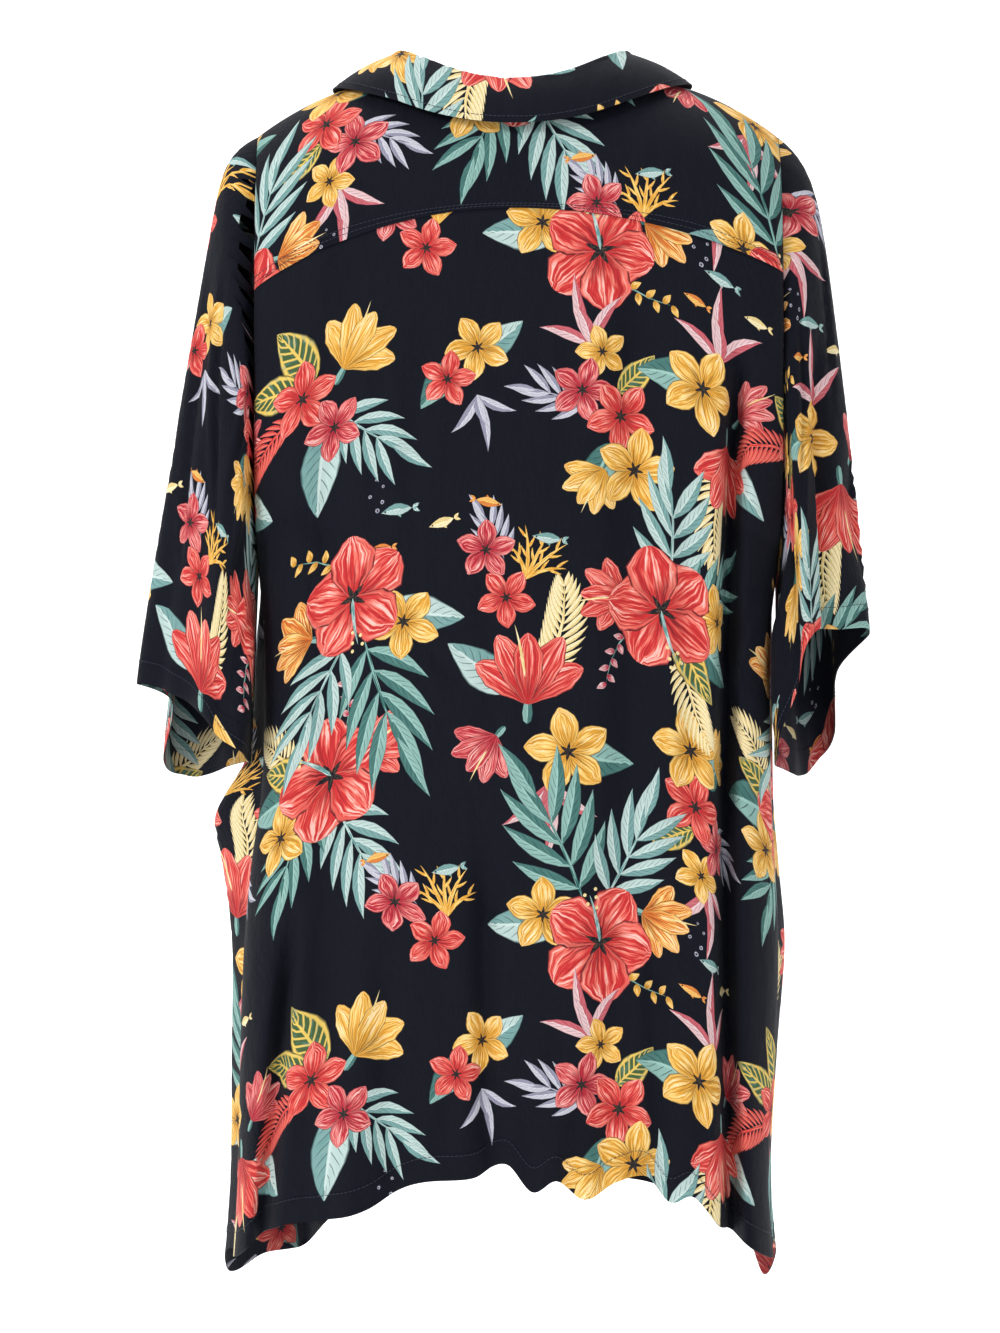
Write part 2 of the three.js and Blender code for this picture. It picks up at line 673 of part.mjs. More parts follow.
// Buttons on the lapped edge, their flat backs towards the cloth
const buttonRadius = 5.7;
const buttonCount = 6;
const firstButtonDown = 214;
const buttonSpacing = 94;
const buttonClear = 0.6;
const buttonProfile = [[0, 0], [0.95, 0.1], [1, 0.75], [0.84, 1], [0.6, 0.76], [0, 0.76]];
const buttonThick = 2.5;
const buttonSides = 14;
const shell = { color: 0x1b1a1c, roughness: 0.3, metalness: 0 };
for (let i = 0; i < buttonCount; i += 1) {
  const points = buttonProfile.map(([r, h]) => new THREE.Vector2(r * buttonRadius, h * buttonThick));
  const button = add(`button_${i + 1}`, new THREE.LatheGeometry(points, buttonSides), shell);
  button.position.copy(bodyPoint(0, -firstButtonDown - i * buttonSpacing, lapLift));
  button.position.y += buttonClear;
}

export default shirt;
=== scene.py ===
"""A men's short-sleeved camp shirt in printed rayon, hanging hollow and seen from the back.

Lengths are in millimetres until a mesh is written. The wearer faces +Y, so the back is towards -Y.
Each piece is a thin shell on its solid's form. Its cloth is laid out flat, the flower print is cut
into that flat piece as faces of its own, and the faces are then carried onto the hanging form.
"""

import math

import bmesh
import bpy
import numpy as np
from mathutils import Matrix, Vector
from mathutils.geometry import delaunay_2d_cdt


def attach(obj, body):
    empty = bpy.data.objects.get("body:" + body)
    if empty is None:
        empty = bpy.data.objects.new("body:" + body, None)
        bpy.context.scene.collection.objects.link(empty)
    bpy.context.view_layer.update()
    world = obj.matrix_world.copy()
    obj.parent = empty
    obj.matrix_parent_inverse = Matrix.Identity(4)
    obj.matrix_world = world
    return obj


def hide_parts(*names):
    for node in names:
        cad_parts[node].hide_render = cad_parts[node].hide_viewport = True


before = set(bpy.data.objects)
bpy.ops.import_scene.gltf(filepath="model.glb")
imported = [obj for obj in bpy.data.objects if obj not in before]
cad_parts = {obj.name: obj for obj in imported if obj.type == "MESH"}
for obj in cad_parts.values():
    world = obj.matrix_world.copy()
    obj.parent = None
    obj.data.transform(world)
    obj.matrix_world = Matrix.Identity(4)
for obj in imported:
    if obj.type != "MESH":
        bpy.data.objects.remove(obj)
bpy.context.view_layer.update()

MM = 0.001
# Thickness of the shells
THICK = 0.9

# The shirt's own sizes, the same as its solids have
SEAM_GAP = 0.3
ARM = {"left": 198, "right": 206}
NECK_HALF = 88
SHOULDER_ROUND = 75
RIDGE_AT_NECK = 34
RIDGE_AT_ARM = -17
RIDGE_FALL = {"left": (0.12, 0.0027), "right": (0.05, 0.0029)}
ARMHOLE_DROP = 323
SIDE_HEM = -880
HEM_HALF = {"back": {"left": 218, "right": 202}, "front": {"left": 231, "right": 212}}
ARM_BACK = {"left": 34, "right": 48}
ARM_FRONT = 50
SECTION_POWER = 3
SWELL_POWER = 1.5
FOLD_SIDE_FADE = 1.5
STRAP_DOWN = 30
BACK_NECK_DOWN = 80
NECK_SEAM_ANGLE = math.acos(-STRAP_DOWN / BACK_NECK_DOWN)
NECK_SEAM_ACROSS = NECK_HALF * math.sin(NECK_SEAM_ANGLE)
YOKE_SEAM_MIDDLE = -79
YOKE_SEAM_BEND = {"left": 0.0015, "right": 0.0011}
FRONT_LAP = 15
LAP_LIFT = 2.6
LAP_LIFT_FROM = -60
LAP_LIFT_WIDTH = 30
OPEN_NECK_DOWN = 202
COLLAR_REACH = 0.3
FOLD_FADE = 90
ROUND_LENGTH = SHOULDER_ROUND * math.pi / 2
SIDE_DROP = RIDGE_AT_ARM - SIDE_HEM
ARM_FRACTION = ARMHOLE_DROP / SIDE_DROP


def table(columns, *rows):
    """A table with named columns, as one array for each column."""
    return {name: np.array(values, float) for name, values in zip(columns.split(), zip(*rows))}


def clamp(value, low=0.0, high=1.0):
    return np.minimum(high, np.maximum(low, value))


def mix(a, b, t):
    return a + (b - a) * t


def ease(t):
    s = clamp(t)
    return s * s * (3 - 2 * s)


def unit(vectors):
    return vectors / np.maximum(np.linalg.norm(vectors, axis=-1, keepdims=True), 1e-9)


def arc(points):
    """Distance along lines of points that run down the first axis."""
    steps = np.linalg.norm(np.diff(points, axis=0), axis=-1)
    return np.concatenate([np.zeros_like(steps[:1]), np.cumsum(steps, axis=0)])


def on_line(points, length, where):
    """Points of one line at given distances along it."""
    return np.stack([np.interp(where, length, column) for column in points.T], axis=-1)


def curve(rows, along, column):
    """A smooth curve through one column of a table, read along another column that rises."""
    at, value = rows[along], rows[column]
    last = len(at) - 1
    before = np.maximum(np.arange(last + 1) - 1, 0)
    after = np.minimum(np.arange(last + 1) + 1, last)
    slope = (value[after] - value[before]) / (at[after] - at[before])

    def read(x):
        s = clamp(x, at[0], at[-1])
        i = np.clip(np.searchsorted(at, s) - 1, 0, last - 1)
        h = at[i + 1] - at[i]
        t = (s - at[i]) / h
        t2, t3 = t * t, t * t * t
        start = value[i] * (2 * t3 - 3 * t2 + 1) + slope[i] * h * (t3 - 2 * t2 + t)
        return start + value[i + 1] * (3 * t2 - 2 * t3) + slope[i + 1] * h * (t3 - t2)

    return read


HEIGHTS = table(
    "z left right back front out_left out_right",
    (-905, 218, 204, 92, 88, 236, 216),
    (-820, 213, 199, 88, 86, 229, 209),
    (-720, 211, 204, 86, 85, 228, 214),
    (-640, 208, 206, 84, 84, 228, 221),
    (-575, 202, 203, 82, 83, 236, 215),
    (-535, 196, 201, 80, 82, 243, 211),
    (-490, 193, 200, 79, 80, 216, 210),
    (-400, 193, 200, 78, 77, 207, 209),
    (-340, 198, 206, 76, 74, 198, 206),
    (-200, 198, 206, 73, 68, 198, 206),
    (-60, 198, 206, 66, 56, 198, 206),
    (40, 198, 206, 60, 48, 198, 206),
)
SIZE_AT = {column: curve(HEIGHTS, "z", column) for column in HEIGHTS if column != "z"}

BACK_HEM = table(
    "x z",
    (-218, -880), (-181, -848), (-144, -839), (-110, -830), (-75, -811), (-28, -806), (-5, -796),
    (14, -816), (32, -807), (52, -821), (78, -809), (100, -806), (117, -826), (135, -822),
    (157, -847), (202, -880),
)
FRONT_HEM = table(
    "x z",
    (-231, -880), (-222, -906), (-200, -896), (-178, -892), (-150, -868), (-110, -848), (-60, -834),
    (0, -826), (60, -832), (120, -844), (170, -862), (190, -884), (200, -910), (212, -880),
)
HEM_AT = {"back": curve(BACK_HEM, "x", "z"), "front": curve(FRONT_HEM, "x", "z")}

FOLD_COLUMNS = "start end x0 x1 x2 deep wide"
FOLDS = {
    "back": table(
        FOLD_COLUMNS,
        (-165, -980, 172, 162, 172, 32, 7),
        (-590, -980, -163, -184, -201, 18, 7),
        (-120, -740, -144, -138, -142, 9, 17),
        (-40, -300, -150, -146, -150, -4, 14),
        (-600, -980, -97, -92, -78, 7, 11),
        (-530, -980, -21, -19, -10, 10, 9),
        (-110, -820, 94, 88, 68, 10, 18),
        (-560, -980, 106, 108, 116, 8, 11),
        (-260, -560, 128, 133, 130, 5, 10),
        (-700, -980, 30, 26, 14, -7, 12),
        (-690, -980, -120, -124, -128, -6, 13),
        (-720, -980, 60, 56, 52, -6, 9),
    ),
    "front": table(
        FOLD_COLUMNS,
        (-90, -760, -140, -132, -138, 12, 15),
        (-240, -980, -168, -160, -170, 20, 9),
        (-430, -980, -88, -92, -104, 10, 12),
        (-560, -980, -52, -58, -62, -7, 11),
        (-120, -700, 128, 136, 126, 11, 16),
        (-300, -980, 166, 158, 168, 18, 8),
        (-380, -980, 78, 84, 96, 9, 13),
        (-620, -980, 52, 56, 64, -8, 10),
    ),
}

# Creases in each piece: their two ends, how far they bow, how deep they go and their half width.
# On the body x and z are places. On a sleeve they are the angle and the share of the way to the cuff.
# A crease fades in and out over a part of its length, and the cloth rises in a ridge beside it.
CREASE_GAIN = 1.35
CREASE_STARTS = 3.2
CREASE_ENDS = 2.4
RIDGE_OFF = 1.7
RIDGE_SHARE = 0.5
CREASE_COLUMNS = "x0 z0 x1 z1 bow deep wide"
CREASES = {
    "back": table(
        CREASE_COLUMNS,
        (196, -330, 120, -455, 14, 3.2, 9),
        (188, -372, 138, -560, 10, 2.6, 8),
        (150, -420, 128, -640, -8, 2.2, 9),
        (-190, -335, -150, -520, -12, 2.4, 9),
        (-176, -300, -120, -360, 8, 1.6, 8),
        (66, -122, 96, -158, 4, 1.5, 5),
        (44, -140, 30, -300, 5, 1.2, 10),
        (-60, -150, -78, -330, -6, 1.3, 11),
        (-104, -170, -118, -420, 6, 1.6, 9),
        (-30, -330, -20, -520, 7, 1.2, 9),
        (20, -420, 44, -560, -9, 1.4, 8),
        (-130, -470, -60, -520, 6, 1.2, 7),
        (60, -600, 108, -640, -5, 1.5, 7),
        (90, -650, 140, -700, 8, 1.7, 8),
        (-60, -560, -100, -650, 6, 1.5, 9),
        (-150, -600, -120, -760, -7, 1.6, 9),
        (0, -560, -40, -640, 5, 1.3, 7),
        (40, -690, 20, -800, -4, 2.2, 8),
        (-50, -700, -58, -805, 3, 1.8, 8),
        (132, -700, 140, -820, 4, 2.0, 7),
        (-150, -740, -158, -840, -3, 1.8, 8),
        (84, -740, 92, -808, 2, 2.2, 6),
        (-20, -210, 30, -230, 4, 0.9, 7),
        (110, -250, 70, -330, -5, 1.4, 7),
        (-80, -400, -36, -450, 5, 1.0, 6),
        (-108, -690, -80, -730, 4, 1.2, 6),
    ),
    "front": table(
        CREASE_COLUMNS,
        (-192, -335, -120, -470, -12, 3.0, 9),
        (-180, -380, -140, -560, -9, 2.4, 8),
        (196, -340, 130, -480, 12, 3.0, 9),
        (184, -390, 150, -590, 9, 2.2, 9),
        (-130, -90, -60, -190, 10, 1.8, 10),
        (132, -90, 70, -180, -10, 1.8, 10),
        (-20, -330, -70, -420, 6, 1.5, 8),
        (30, -360, 80, -430, -6, 1.4, 8),
        (-30, -520, -90, -600, 8, 1.8, 9),
        (40, -560, 110, -640, -9, 1.7, 9),
        (-120, -640, -100, -800, 5, 1.9, 9),
        (110, -660, 96, -820, -5, 1.9, 9),
        (-40, -700, -30, -810, 4, 1.6, 7),
        (30, -720, 44, -815, -4, 1.6, 7),
    ),
    "sleeve_left": table(
        CREASE_COLUMNS,
        (50, 0.12, 78, 0.62, 9, 2.6, 9),
        (96, 0.04, 84, 0.5, -7, 2.2, 8),
        (132, 0.1, 112, 0.66, 8, 2.0, 9),
        (22, 0.3, 44, 0.86, 6, 1.8, 8),
        (150, 0.3, 128, 0.92, 6, 1.8, 8),
        (-40, 0.1, -66, 0.7, -8, 2.2, 9),
        (-90, 0.08, -84, 0.6, 7, 2.0, 9),
        (-130, 0.15, -112, 0.8, -7, 2.0, 9),
        (6, 0.5, -8, 0.94, 5, 1.6, 8),
        (142, 0.25, 146, 1.2, 0, -7, 34),
    ),
    "sleeve_right": table(
        CREASE_COLUMNS,
        (66, 0.1, 92, 0.7, 8, 2.6, 9),
        (104, 0.05, 96, 0.5, -7, 2.4, 8),
        (136, 0.12, 118, 0.72, 8, 2.2, 9),
        (24, 0.16, 30, 0.6, 5, 1.8, 7),
        (152, 0.3, 132, 0.95, 6, 1.8, 8),
        (-36, 0.12, -60, 0.7, -8, 2.2, 9),
        (-86, 0.06, -92, 0.62, 7, 2.0, 9),
        (-134, 0.15, -110, 0.8, -7, 2.0, 9),
        (148, 0.25, 150, 1.2, 0, -9, 34),
    ),
}


def crease_depth(creases, x, z, x_scale=1.0, z_scale=1.0):
    """How far the creases push the cloth in at each place. Each has a soft ridge on one side."""
    deep = np.zeros(np.shape(x))
    for i in range(len(creases["deep"])):
        c = {name: column[i] for name, column in creases.items()}
        start = np.array([c["x0"] * x_scale, c["z0"] * z_scale])
        chord = np.array([c["x1"] * x_scale, c["z1"] * z_scale]) - start
        length = np.linalg.norm(chord)
        way = chord / length
        dx, dz = x * x_scale - start[0], z * z_scale - start[1]
        t = (dx * way[0] + dz * way[1]) / length
        side = dz * way[0] - dx * way[1] - c["bow"] * 4 * t * (1 - t)
        fade = ease(t * CREASE_STARTS) * ease((1 - t) * CREASE_ENDS)
        trough = np.exp(-((side / c["wide"]) ** 2))
        ridge = np.exp(-(((side - RIDGE_OFF * c["wide"]) / c["wide"]) ** 2))
        deep = deep + CREASE_GAIN * c["deep"] * fade * (trough - RIDGE_SHARE * ridge)
    return deep


def by_side(across, left, right):
    return np.where(np.asarray(across) < 0, left, right)


def fold_depth(half, x, z):
    """How far the large folds push the cloth in. Each runs down a bent line through x0, x1 and x2."""
    folds = FOLDS[half]
    deep = np.zeros(np.shape(x))
    for start, end, x0, x1, x2, depth, wide in zip(*(folds[c] for c in FOLD_COLUMNS.split())):
        t = clamp((start - z) / (start - end))
        middle = x0 * (1 - t) * (1 - 2 * t) + x1 * 4 * t * (1 - t) + x2 * t * (2 * t - 1)
        fade = ease((start - z) / FOLD_FADE) * ease((z - end) / FOLD_FADE)
        deep = deep + depth * fade * np.exp(-(((x - middle) / wide) ** 2))
    return deep


def ridge_height(across):
    """Height of the shoulder line."""
    past = np.maximum(0, np.abs(across) - NECK_HALF)
    (slope_left, bend_left), (slope_right, bend_right) = RIDGE_FALL["left"], RIDGE_FALL["right"]
    slope, bend = by_side(across, slope_left, slope_right), by_side(across, bend_left, bend_right)
    return RIDGE_AT_NECK - slope * past - bend * past * past


def down_of(drop):
    """Length of cloth over the rounded shoulder for a drop below the shoulder line."""
    over = SHOULDER_ROUND * np.arccos(clamp(1 - drop / SHOULDER_ROUND, -1, 1))
    return np.where(drop < SHOULDER_ROUND, over, ROUND_LENGTH + drop - SHOULDER_ROUND)


def drop_of(down):
    over = SHOULDER_ROUND * (1 - np.cos(down / SHOULDER_ROUND))
    return np.where(down < ROUND_LENGTH, over, SHOULDER_ROUND + down - ROUND_LENGTH)


def hem_drop(half, across):
    sizes = HEM_HALF[half]
    share = by_side(across, sizes["left"] / ARM["left"], sizes["right"] / ARM["right"])
    return ridge_height(across) - HEM_AT[half](share * across)


def half_point(half, across, down):
    """Points of the back's or the front's outer side, across and down along the cloth."""
    outward = -1 if half == "back" else 1
    drop = drop_of(np.abs(down))
    fraction = clamp(across / by_side(across, ARM["left"], ARM["right"]), -1, 1)
    fallen = drop / hem_drop(half, across)
    seam_z = RIDGE_AT_ARM - fallen * SIDE_DROP
    z = ridge_height(across) - drop
    seam_x = by_side(across, SIZE_AT["left"](seam_z), SIZE_AT["right"](seam_z))
    thick = clamp(1 - np.abs(fraction) ** SECTION_POWER) ** (1 / SECTION_POWER)
    arm_wide = by_side(across, ARM_BACK["left"], ARM_BACK["right"]) if half == "back" else ARM_FRONT
    on_armhole = clamp(2 * fallen / ARM_FRACTION - 1, -1, 1)
    edge = arm_wide * np.sqrt(1 - on_armhole**2)
    shoulder = np.sin(clamp(np.abs(down) / SHOULDER_ROUND, 0, math.pi / 2))
    x = fraction * seam_x
    if half == "front":
        out = by_side(across, SIZE_AT["out_left"](seam_z), SIZE_AT["out_right"](seam_z))
        x = x + np.sign(across) * (out - seam_x) * np.sin(math.pi * thick) ** SWELL_POWER
    side_fade = np.minimum(1, thick * FOLD_SIDE_FADE)
    deep = SIZE_AT[half](z) * shoulder * thick - fold_depth(half, x, z) * side_fade
    deep = deep - crease_depth(CREASES[half], x, z) * side_fade * ease(drop / SHOULDER_ROUND)
    return np.stack([x, outward * (edge * (1 - thick) + deep), z], axis=-1)


def body_point(across, down):
    """Points of the body's outer side. Down is above zero on the back and below it in front."""
    across, down = np.broadcast_arrays(np.asarray(across, float), np.asarray(down, float))
    on_back = (down > 0)[..., None]
    return np.where(on_back, half_point("back", across, down), half_point("front", across, down))


def neck_place(turn):
    """The neckline, from the left open-neck line round the back (0) to the right one."""
    way = np.abs(turn)
    angle = clamp(turn, -1, 1) * NECK_SEAM_ANGLE
    t = clamp(way - 1)
    across = mix(NECK_HALF * np.sin(angle), -np.sign(turn) * FRONT_LAP, t)
    return across, mix(BACK_NECK_DOWN * np.cos(angle), -OPEN_NECK_DOWN, t)


# The least share of a step's squared length that runs across where the cloth falls steeply
SHORTEST_RUN = 0.2
# Finding flat points on the grid: how many grid lines are skipped at first, how many steps follow,
# the longest step in grid lines and the smallest cell that is divided by
FIND_EVERY = 10
FIND_STEPS = 14
FIND_REACH = 25
SMALLEST_CELL = 1e-6
OUTLINE_STEP = 4.0


class Panel:
    """A piece of cloth: a fine grid of points where it hangs, and the same grid laid out flat.

    Columns run to the right and rows run down, as one sees the printed side.
    """

    def __init__(self, points, flat_down, middle, hem=None, top_lines=(), slanted=False):
        self.points = points
        self.top_lines = top_lines
        by_row, by_column = np.gradient(points, axis=(0, 1))
        self.normals = unit(np.cross(by_column, -by_row))
        step = np.diff(points, axis=1)
        fall = np.diff(flat_down, axis=1)
        length2 = (step**2).sum(-1)
        run = np.sqrt(np.maximum(length2 - fall**2, SHORTEST_RUN * length2))
        across = np.concatenate([np.zeros((len(points), 1)), np.cumsum(run, axis=1)], axis=1)
        across -= across[:, middle : middle + 1]
        if slanted:
            across -= points[:, middle : middle + 1, 0] - points[-1, middle, 0]
        self.flat = np.stack([across, -flat_down], axis=-1)
        self.flat_by_row, self.flat_by_column = np.gradient(self.flat, axis=(0, 1))
        to_hem = flat_down[-1:] - flat_down if hem is None else hem
        self.hem = np.broadcast_to(to_hem, points.shape[:2])[..., None]

    def line(self, row=None, column=None, ends=(0.0, 1.0)):
        """A line of points along the grid, with the normals there."""
        index = (row, slice(None)) if column is None else (slice(None), column)
        count = len(self.points[index])
        part = slice(int(ends[0] * (count - 1)), int(ends[1] * (count - 1)) + 1)
        return self.points[index][part], self.normals[index][part]

    def row_at(self, distance):
        """The row whose distance from the top edge, or with a minus from the hem, is nearest."""
        down = -self.flat[:, self.flat.shape[1] // 2, 1]
        target = down[0] + distance if distance >= 0 else down[-1] + distance
        return int(np.abs(down - target).argmin())

    def read(self, grid, place):
        """A grid's values at places between its points."""
        rows, columns = grid.shape[:2]
        r = np.clip(place[:, 0].astype(int), 0, rows - 2)
        c = np.clip(place[:, 1].astype(int), 0, columns - 2)
        a, b = (place[:, 0] - r)[:, None], (place[:, 1] - c)[:, None]
        top = grid[r, c] * (1 - b) + grid[r, c + 1] * b
        low = grid[r + 1, c] * (1 - b) + grid[r + 1, c + 1] * b
        return top * (1 - a) + low * a

    def find(self, flat):
        """The grid places, as row and column, of points of the flat piece."""
        coarse = self.flat[::FIND_EVERY, ::FIND_EVERY]
        known = coarse.reshape(-1, 2)
        nearest = np.concatenate([
            ((known[None] - part[:, None]) ** 2).sum(-1).argmin(1)
            for part in np.array_split(flat, max(1, len(flat) // 500))
        ])
        place = np.stack(np.divmod(nearest, coarse.shape[1]), axis=-1) * float(FIND_EVERY)
        limit = np.array(self.flat.shape[:2], float) - 1
        for _ in range(FIND_STEPS):
            miss = flat - self.read(self.flat, place)
            row, column = self.read(self.flat_by_row, place), self.read(self.flat_by_column, place)
            area = row[:, 0] * column[:, 1] - row[:, 1] * column[:, 0]
            area = np.where(np.abs(area) < SMALLEST_CELL, SMALLEST_CELL, area)
            step_row = (miss[:, 0] * column[:, 1] - miss[:, 1] * column[:, 0]) / area
            step_column = (row[:, 0] * miss[:, 1] - row[:, 1] * miss[:, 0]) / area
            step = np.clip(np.stack([step_row, step_column], axis=-1), -FIND_REACH, FIND_REACH)
            place = np.clip(place + step, 0, limit)
        return place

    def border(self, step):
        """The flat outline, turning left, with points about a step apart and every corner."""
        sides = [self.flat[-1], self.flat[::-1, -1], self.flat[0, ::-1], self.flat[:, 0]]
        outline = []
        for side in sides:
            length = arc(side)
            count = max(2, int(length[-1] / step))
            at = np.linspace(0, length[-1], count, endpoint=False)
            outline.append(on_line(side, length, at))
        return np.concatenate(outline)

    def cut_size(self, slanted):
        """Width and length of the rectangle that the flat piece is cut from, on the bias if slanted."""
        outline = self.border(OUTLINE_STEP)
        sizes = []
        for turn in np.radians(np.arange(90) if slanted else [0]):
            c, s = math.cos(turn), math.sin(turn)
            sizes.append((np.ptp(outline @ [c, s]), np.ptp(outline @ [-s, c])))
        return min(sizes, key=lambda size: size[0] * size[1])

    def area(self):
        a = self.border(OUTLINE_STEP)
        b = np.roll(a, -1, axis=0)
        return abs((a[:, 0] * b[:, 1] - a[:, 1] * b[:, 0]).sum()) / 2


# Length of cloth from the shoulder line to the level where the steps across are measured
SHARES_DOWN = 480


def side_shares(half, side, count):
    """Shares of the way from the middle to a side seam that are even steps along the cloth."""
    fine = 1 - (1 - np.linspace(0, 1, 3001)) ** 3
    sign = -1 if side == "left" else 1
    down = SHARES_DOWN if half == "back" else -SHARES_DOWN
    row = body_point(sign * ARM[side] * fine, down)
    length = arc(row)
    return np.interp(np.linspace(0, length[-1], count), length, fine)


def yoke_seam_down(across):
    bend = by_side(across, YOKE_SEAM_BEND["left"], YOKE_SEAM_BEND["right"])
    return down_of(ridge_height(across) - (YOKE_SEAM_MIDDLE - bend * across * across))


# The back panel's top edge is tucked in under the yoke
SEAM_TUCK = 2.5
TUCK_IN = 1.1
# Extra rows of points lie at these distances from a top edge, where the cloth bends most
BACK_LINES = (1.5, 3.5, 6)
SLEEVE_LINES = (1.2, 2.6, 4.5, 7, 10, 14, 19)


def back_panel():
    left, right = side_shares("back", "left", 280), side_shares("back", "right", 320)
    across = np.concatenate([-ARM["left"] * left[::-1], ARM["right"] * right[1:]])
    t = np.linspace(0, 1, 400)[:, None] ** 1.25
    seam = yoke_seam_down(across)[None]
    down = mix(seam - SEAM_TUCK, down_of(hem_drop("back", across))[None], t)
    points = body_point(across[None], down)
    points[..., 1] += TUCK_IN * (1 - ease((down - seam) / SEAM_TUCK))
    return Panel(points, down, len(left) - 1, top_lines=BACK_LINES)


# A distance to the hem that stands for no hem
FAR = 900.0


def yoke_panel():
    turns = np.linspace(-1, 1, 220)
    strap = np.linspace(1, 0, 110, endpoint=False) ** 0.6
    neck_across, neck_down = neck_place(turns)
    left = -mix(NECK_SEAM_ACROSS, ARM["left"], strap)
    right = mix(NECK_SEAM_ACROSS, ARM["right"], strap[::-1])
    top_across = np.concatenate([left, neck_across, right])
    top_down = np.concatenate([0 * left - STRAP_DOWN, neck_down, 0 * right - STRAP_DOWN])
    share = np.linspace(-1, 1, len(top_across))
    low = by_side(share, ARM["left"], ARM["right"]) * mix(share, np.sin(share * math.pi / 2), 0.75)
    t = np.linspace(0, 1, 90)[:, None]
    across = mix(top_across[None], low[None], ease(t))
    down = mix(top_down[None], yoke_seam_down(low)[None] - SEAM_GAP, t)
    return Panel(body_point(across, down), down, len(share) // 2, hem=FAR + 0 * down)


def lap_lift(across):
    return LAP_LIFT * ease((across - LAP_LIFT_FROM) / LAP_LIFT_WIDTH)


def front_panel(side):
    sign = -1 if side == "left" else 1
    edge_share = -FRONT_LAP / ARM[side]
    shares = side_shares("front", side, 300)
    low = sign * ARM[side] * np.concatenate([np.linspace(edge_share, 0, 24, endpoint=False), shares])
    open_across, open_down = neck_place(sign * np.linspace(2, 1, 130))
    strap = mix(NECK_SEAM_ACROSS, ARM[side], 1 - (1 - np.linspace(0, 1, 195)[1:]) ** 2)
    top_across = np.concatenate([open_across, sign * strap])
    top_down = np.concatenate([open_down, 0 * strap - STRAP_DOWN]) - SEAM_GAP
    t = np.linspace(0, 1, 300)[:, None]
    across = mix(top_across[None], low[None], ease(t / ARM_FRACTION * 0.9))
    down = mix(top_down[None], -down_of(hem_drop("front", across)), t**1.1)
    points = body_point(across, down)
    if side == "left":
        points[..., 1] += lap_lift(across)
    else:
        points, down = points[:, ::-1], down[:, ::-1]
    return Panel(points, -down, 0 if side == "left" else points.shape[1] - 1, slanted=True)


# The cuffs' edges, round from the shoulder line (0) over the back (90)
CUFF_COLUMNS = "angle x y z"
CUFFS = {
    "left": (
        (0, -291, -15, -438), (40, -266, -34, -444), (80, -238, -54, -460), (120, -222, -60, -478),
        (155, -207, -50, -492), (185, -202, -15, -500), (220, -208, 4, -499), (250, -222, 24, -503),
        (285, -245, 50, -511), (312, -265, 64, -512), (336, -278, 42, -499), (350, -267, 10, -452),
    ),
    "right": (
        (0, 277, -12, -399), (35, 251, -34, -396), (70, 231, -46, -397), (100, 221, -52, -414),
        (130, 214, -52, -448), (160, 206, -38, -490), (185, 203, -10, -500), (220, 212, 8, -505),
        (250, 224, 34, -511), (280, 237, 60, -510), (305, 248, 66, -500), (328, 258, 50, -478),
        (347, 256, 18, -428),
    ),
}
# Folds of the sleeves: angle, half width, start and end as shares of the way to the cuff, depth
SLEEVE_FOLDS = {
    "left": (
        (62, 15, 0.3, 1.3, 5), (28, 10, 0.15, 1.2, 4), (112, 14, 0.1, 0.9, -4),
        (300, 18, 0.2, 1.3, 7), (255, 16, 0.3, 1.2, 5),
    ),
    "right": (
        (47, 9, 0.3, 1.4, 13), (82, 12, 0.1, 1.2, -4), (6, 16, 0.55, 0.98, 8),
        (290, 18, 0.2, 1.3, 7), (245, 15, 0.3, 1.2, 5),
    ),
}
# How far the sleeve's cap swells out to the side, and its back and front puff out past the armhole
CAP_SWELL = {"left": 24, "right": 27}
CAP_START = {"left": 0.03, "right": 0.06}
BACK_PUFF = {"left": 17, "right": 5}
FRONT_PUFF = 7
PUFF_START = 0.04
CAP_FADE = 0.8
PUFF_FADE = 0.5
SLEEVE_FOLD_FADE = 0.25
# Millimetres that one degree round a sleeve and the whole way to its cuff count for in a crease
DEGREE_WIDE = 1.9
SLEEVE_LONG = 400


def cuff_curves(side):
    rows = CUFFS[side]
    tail = [(angle - 360, x, y, z) for angle, x, y, z in rows[-2:]]
    head = [(angle + 360, x, y, z) for angle, x, y, z in rows[:3]]
    around = table(CUFF_COLUMNS, *tail, *rows, *head)
    return [curve(around, "angle", column) for column in "xyz"]


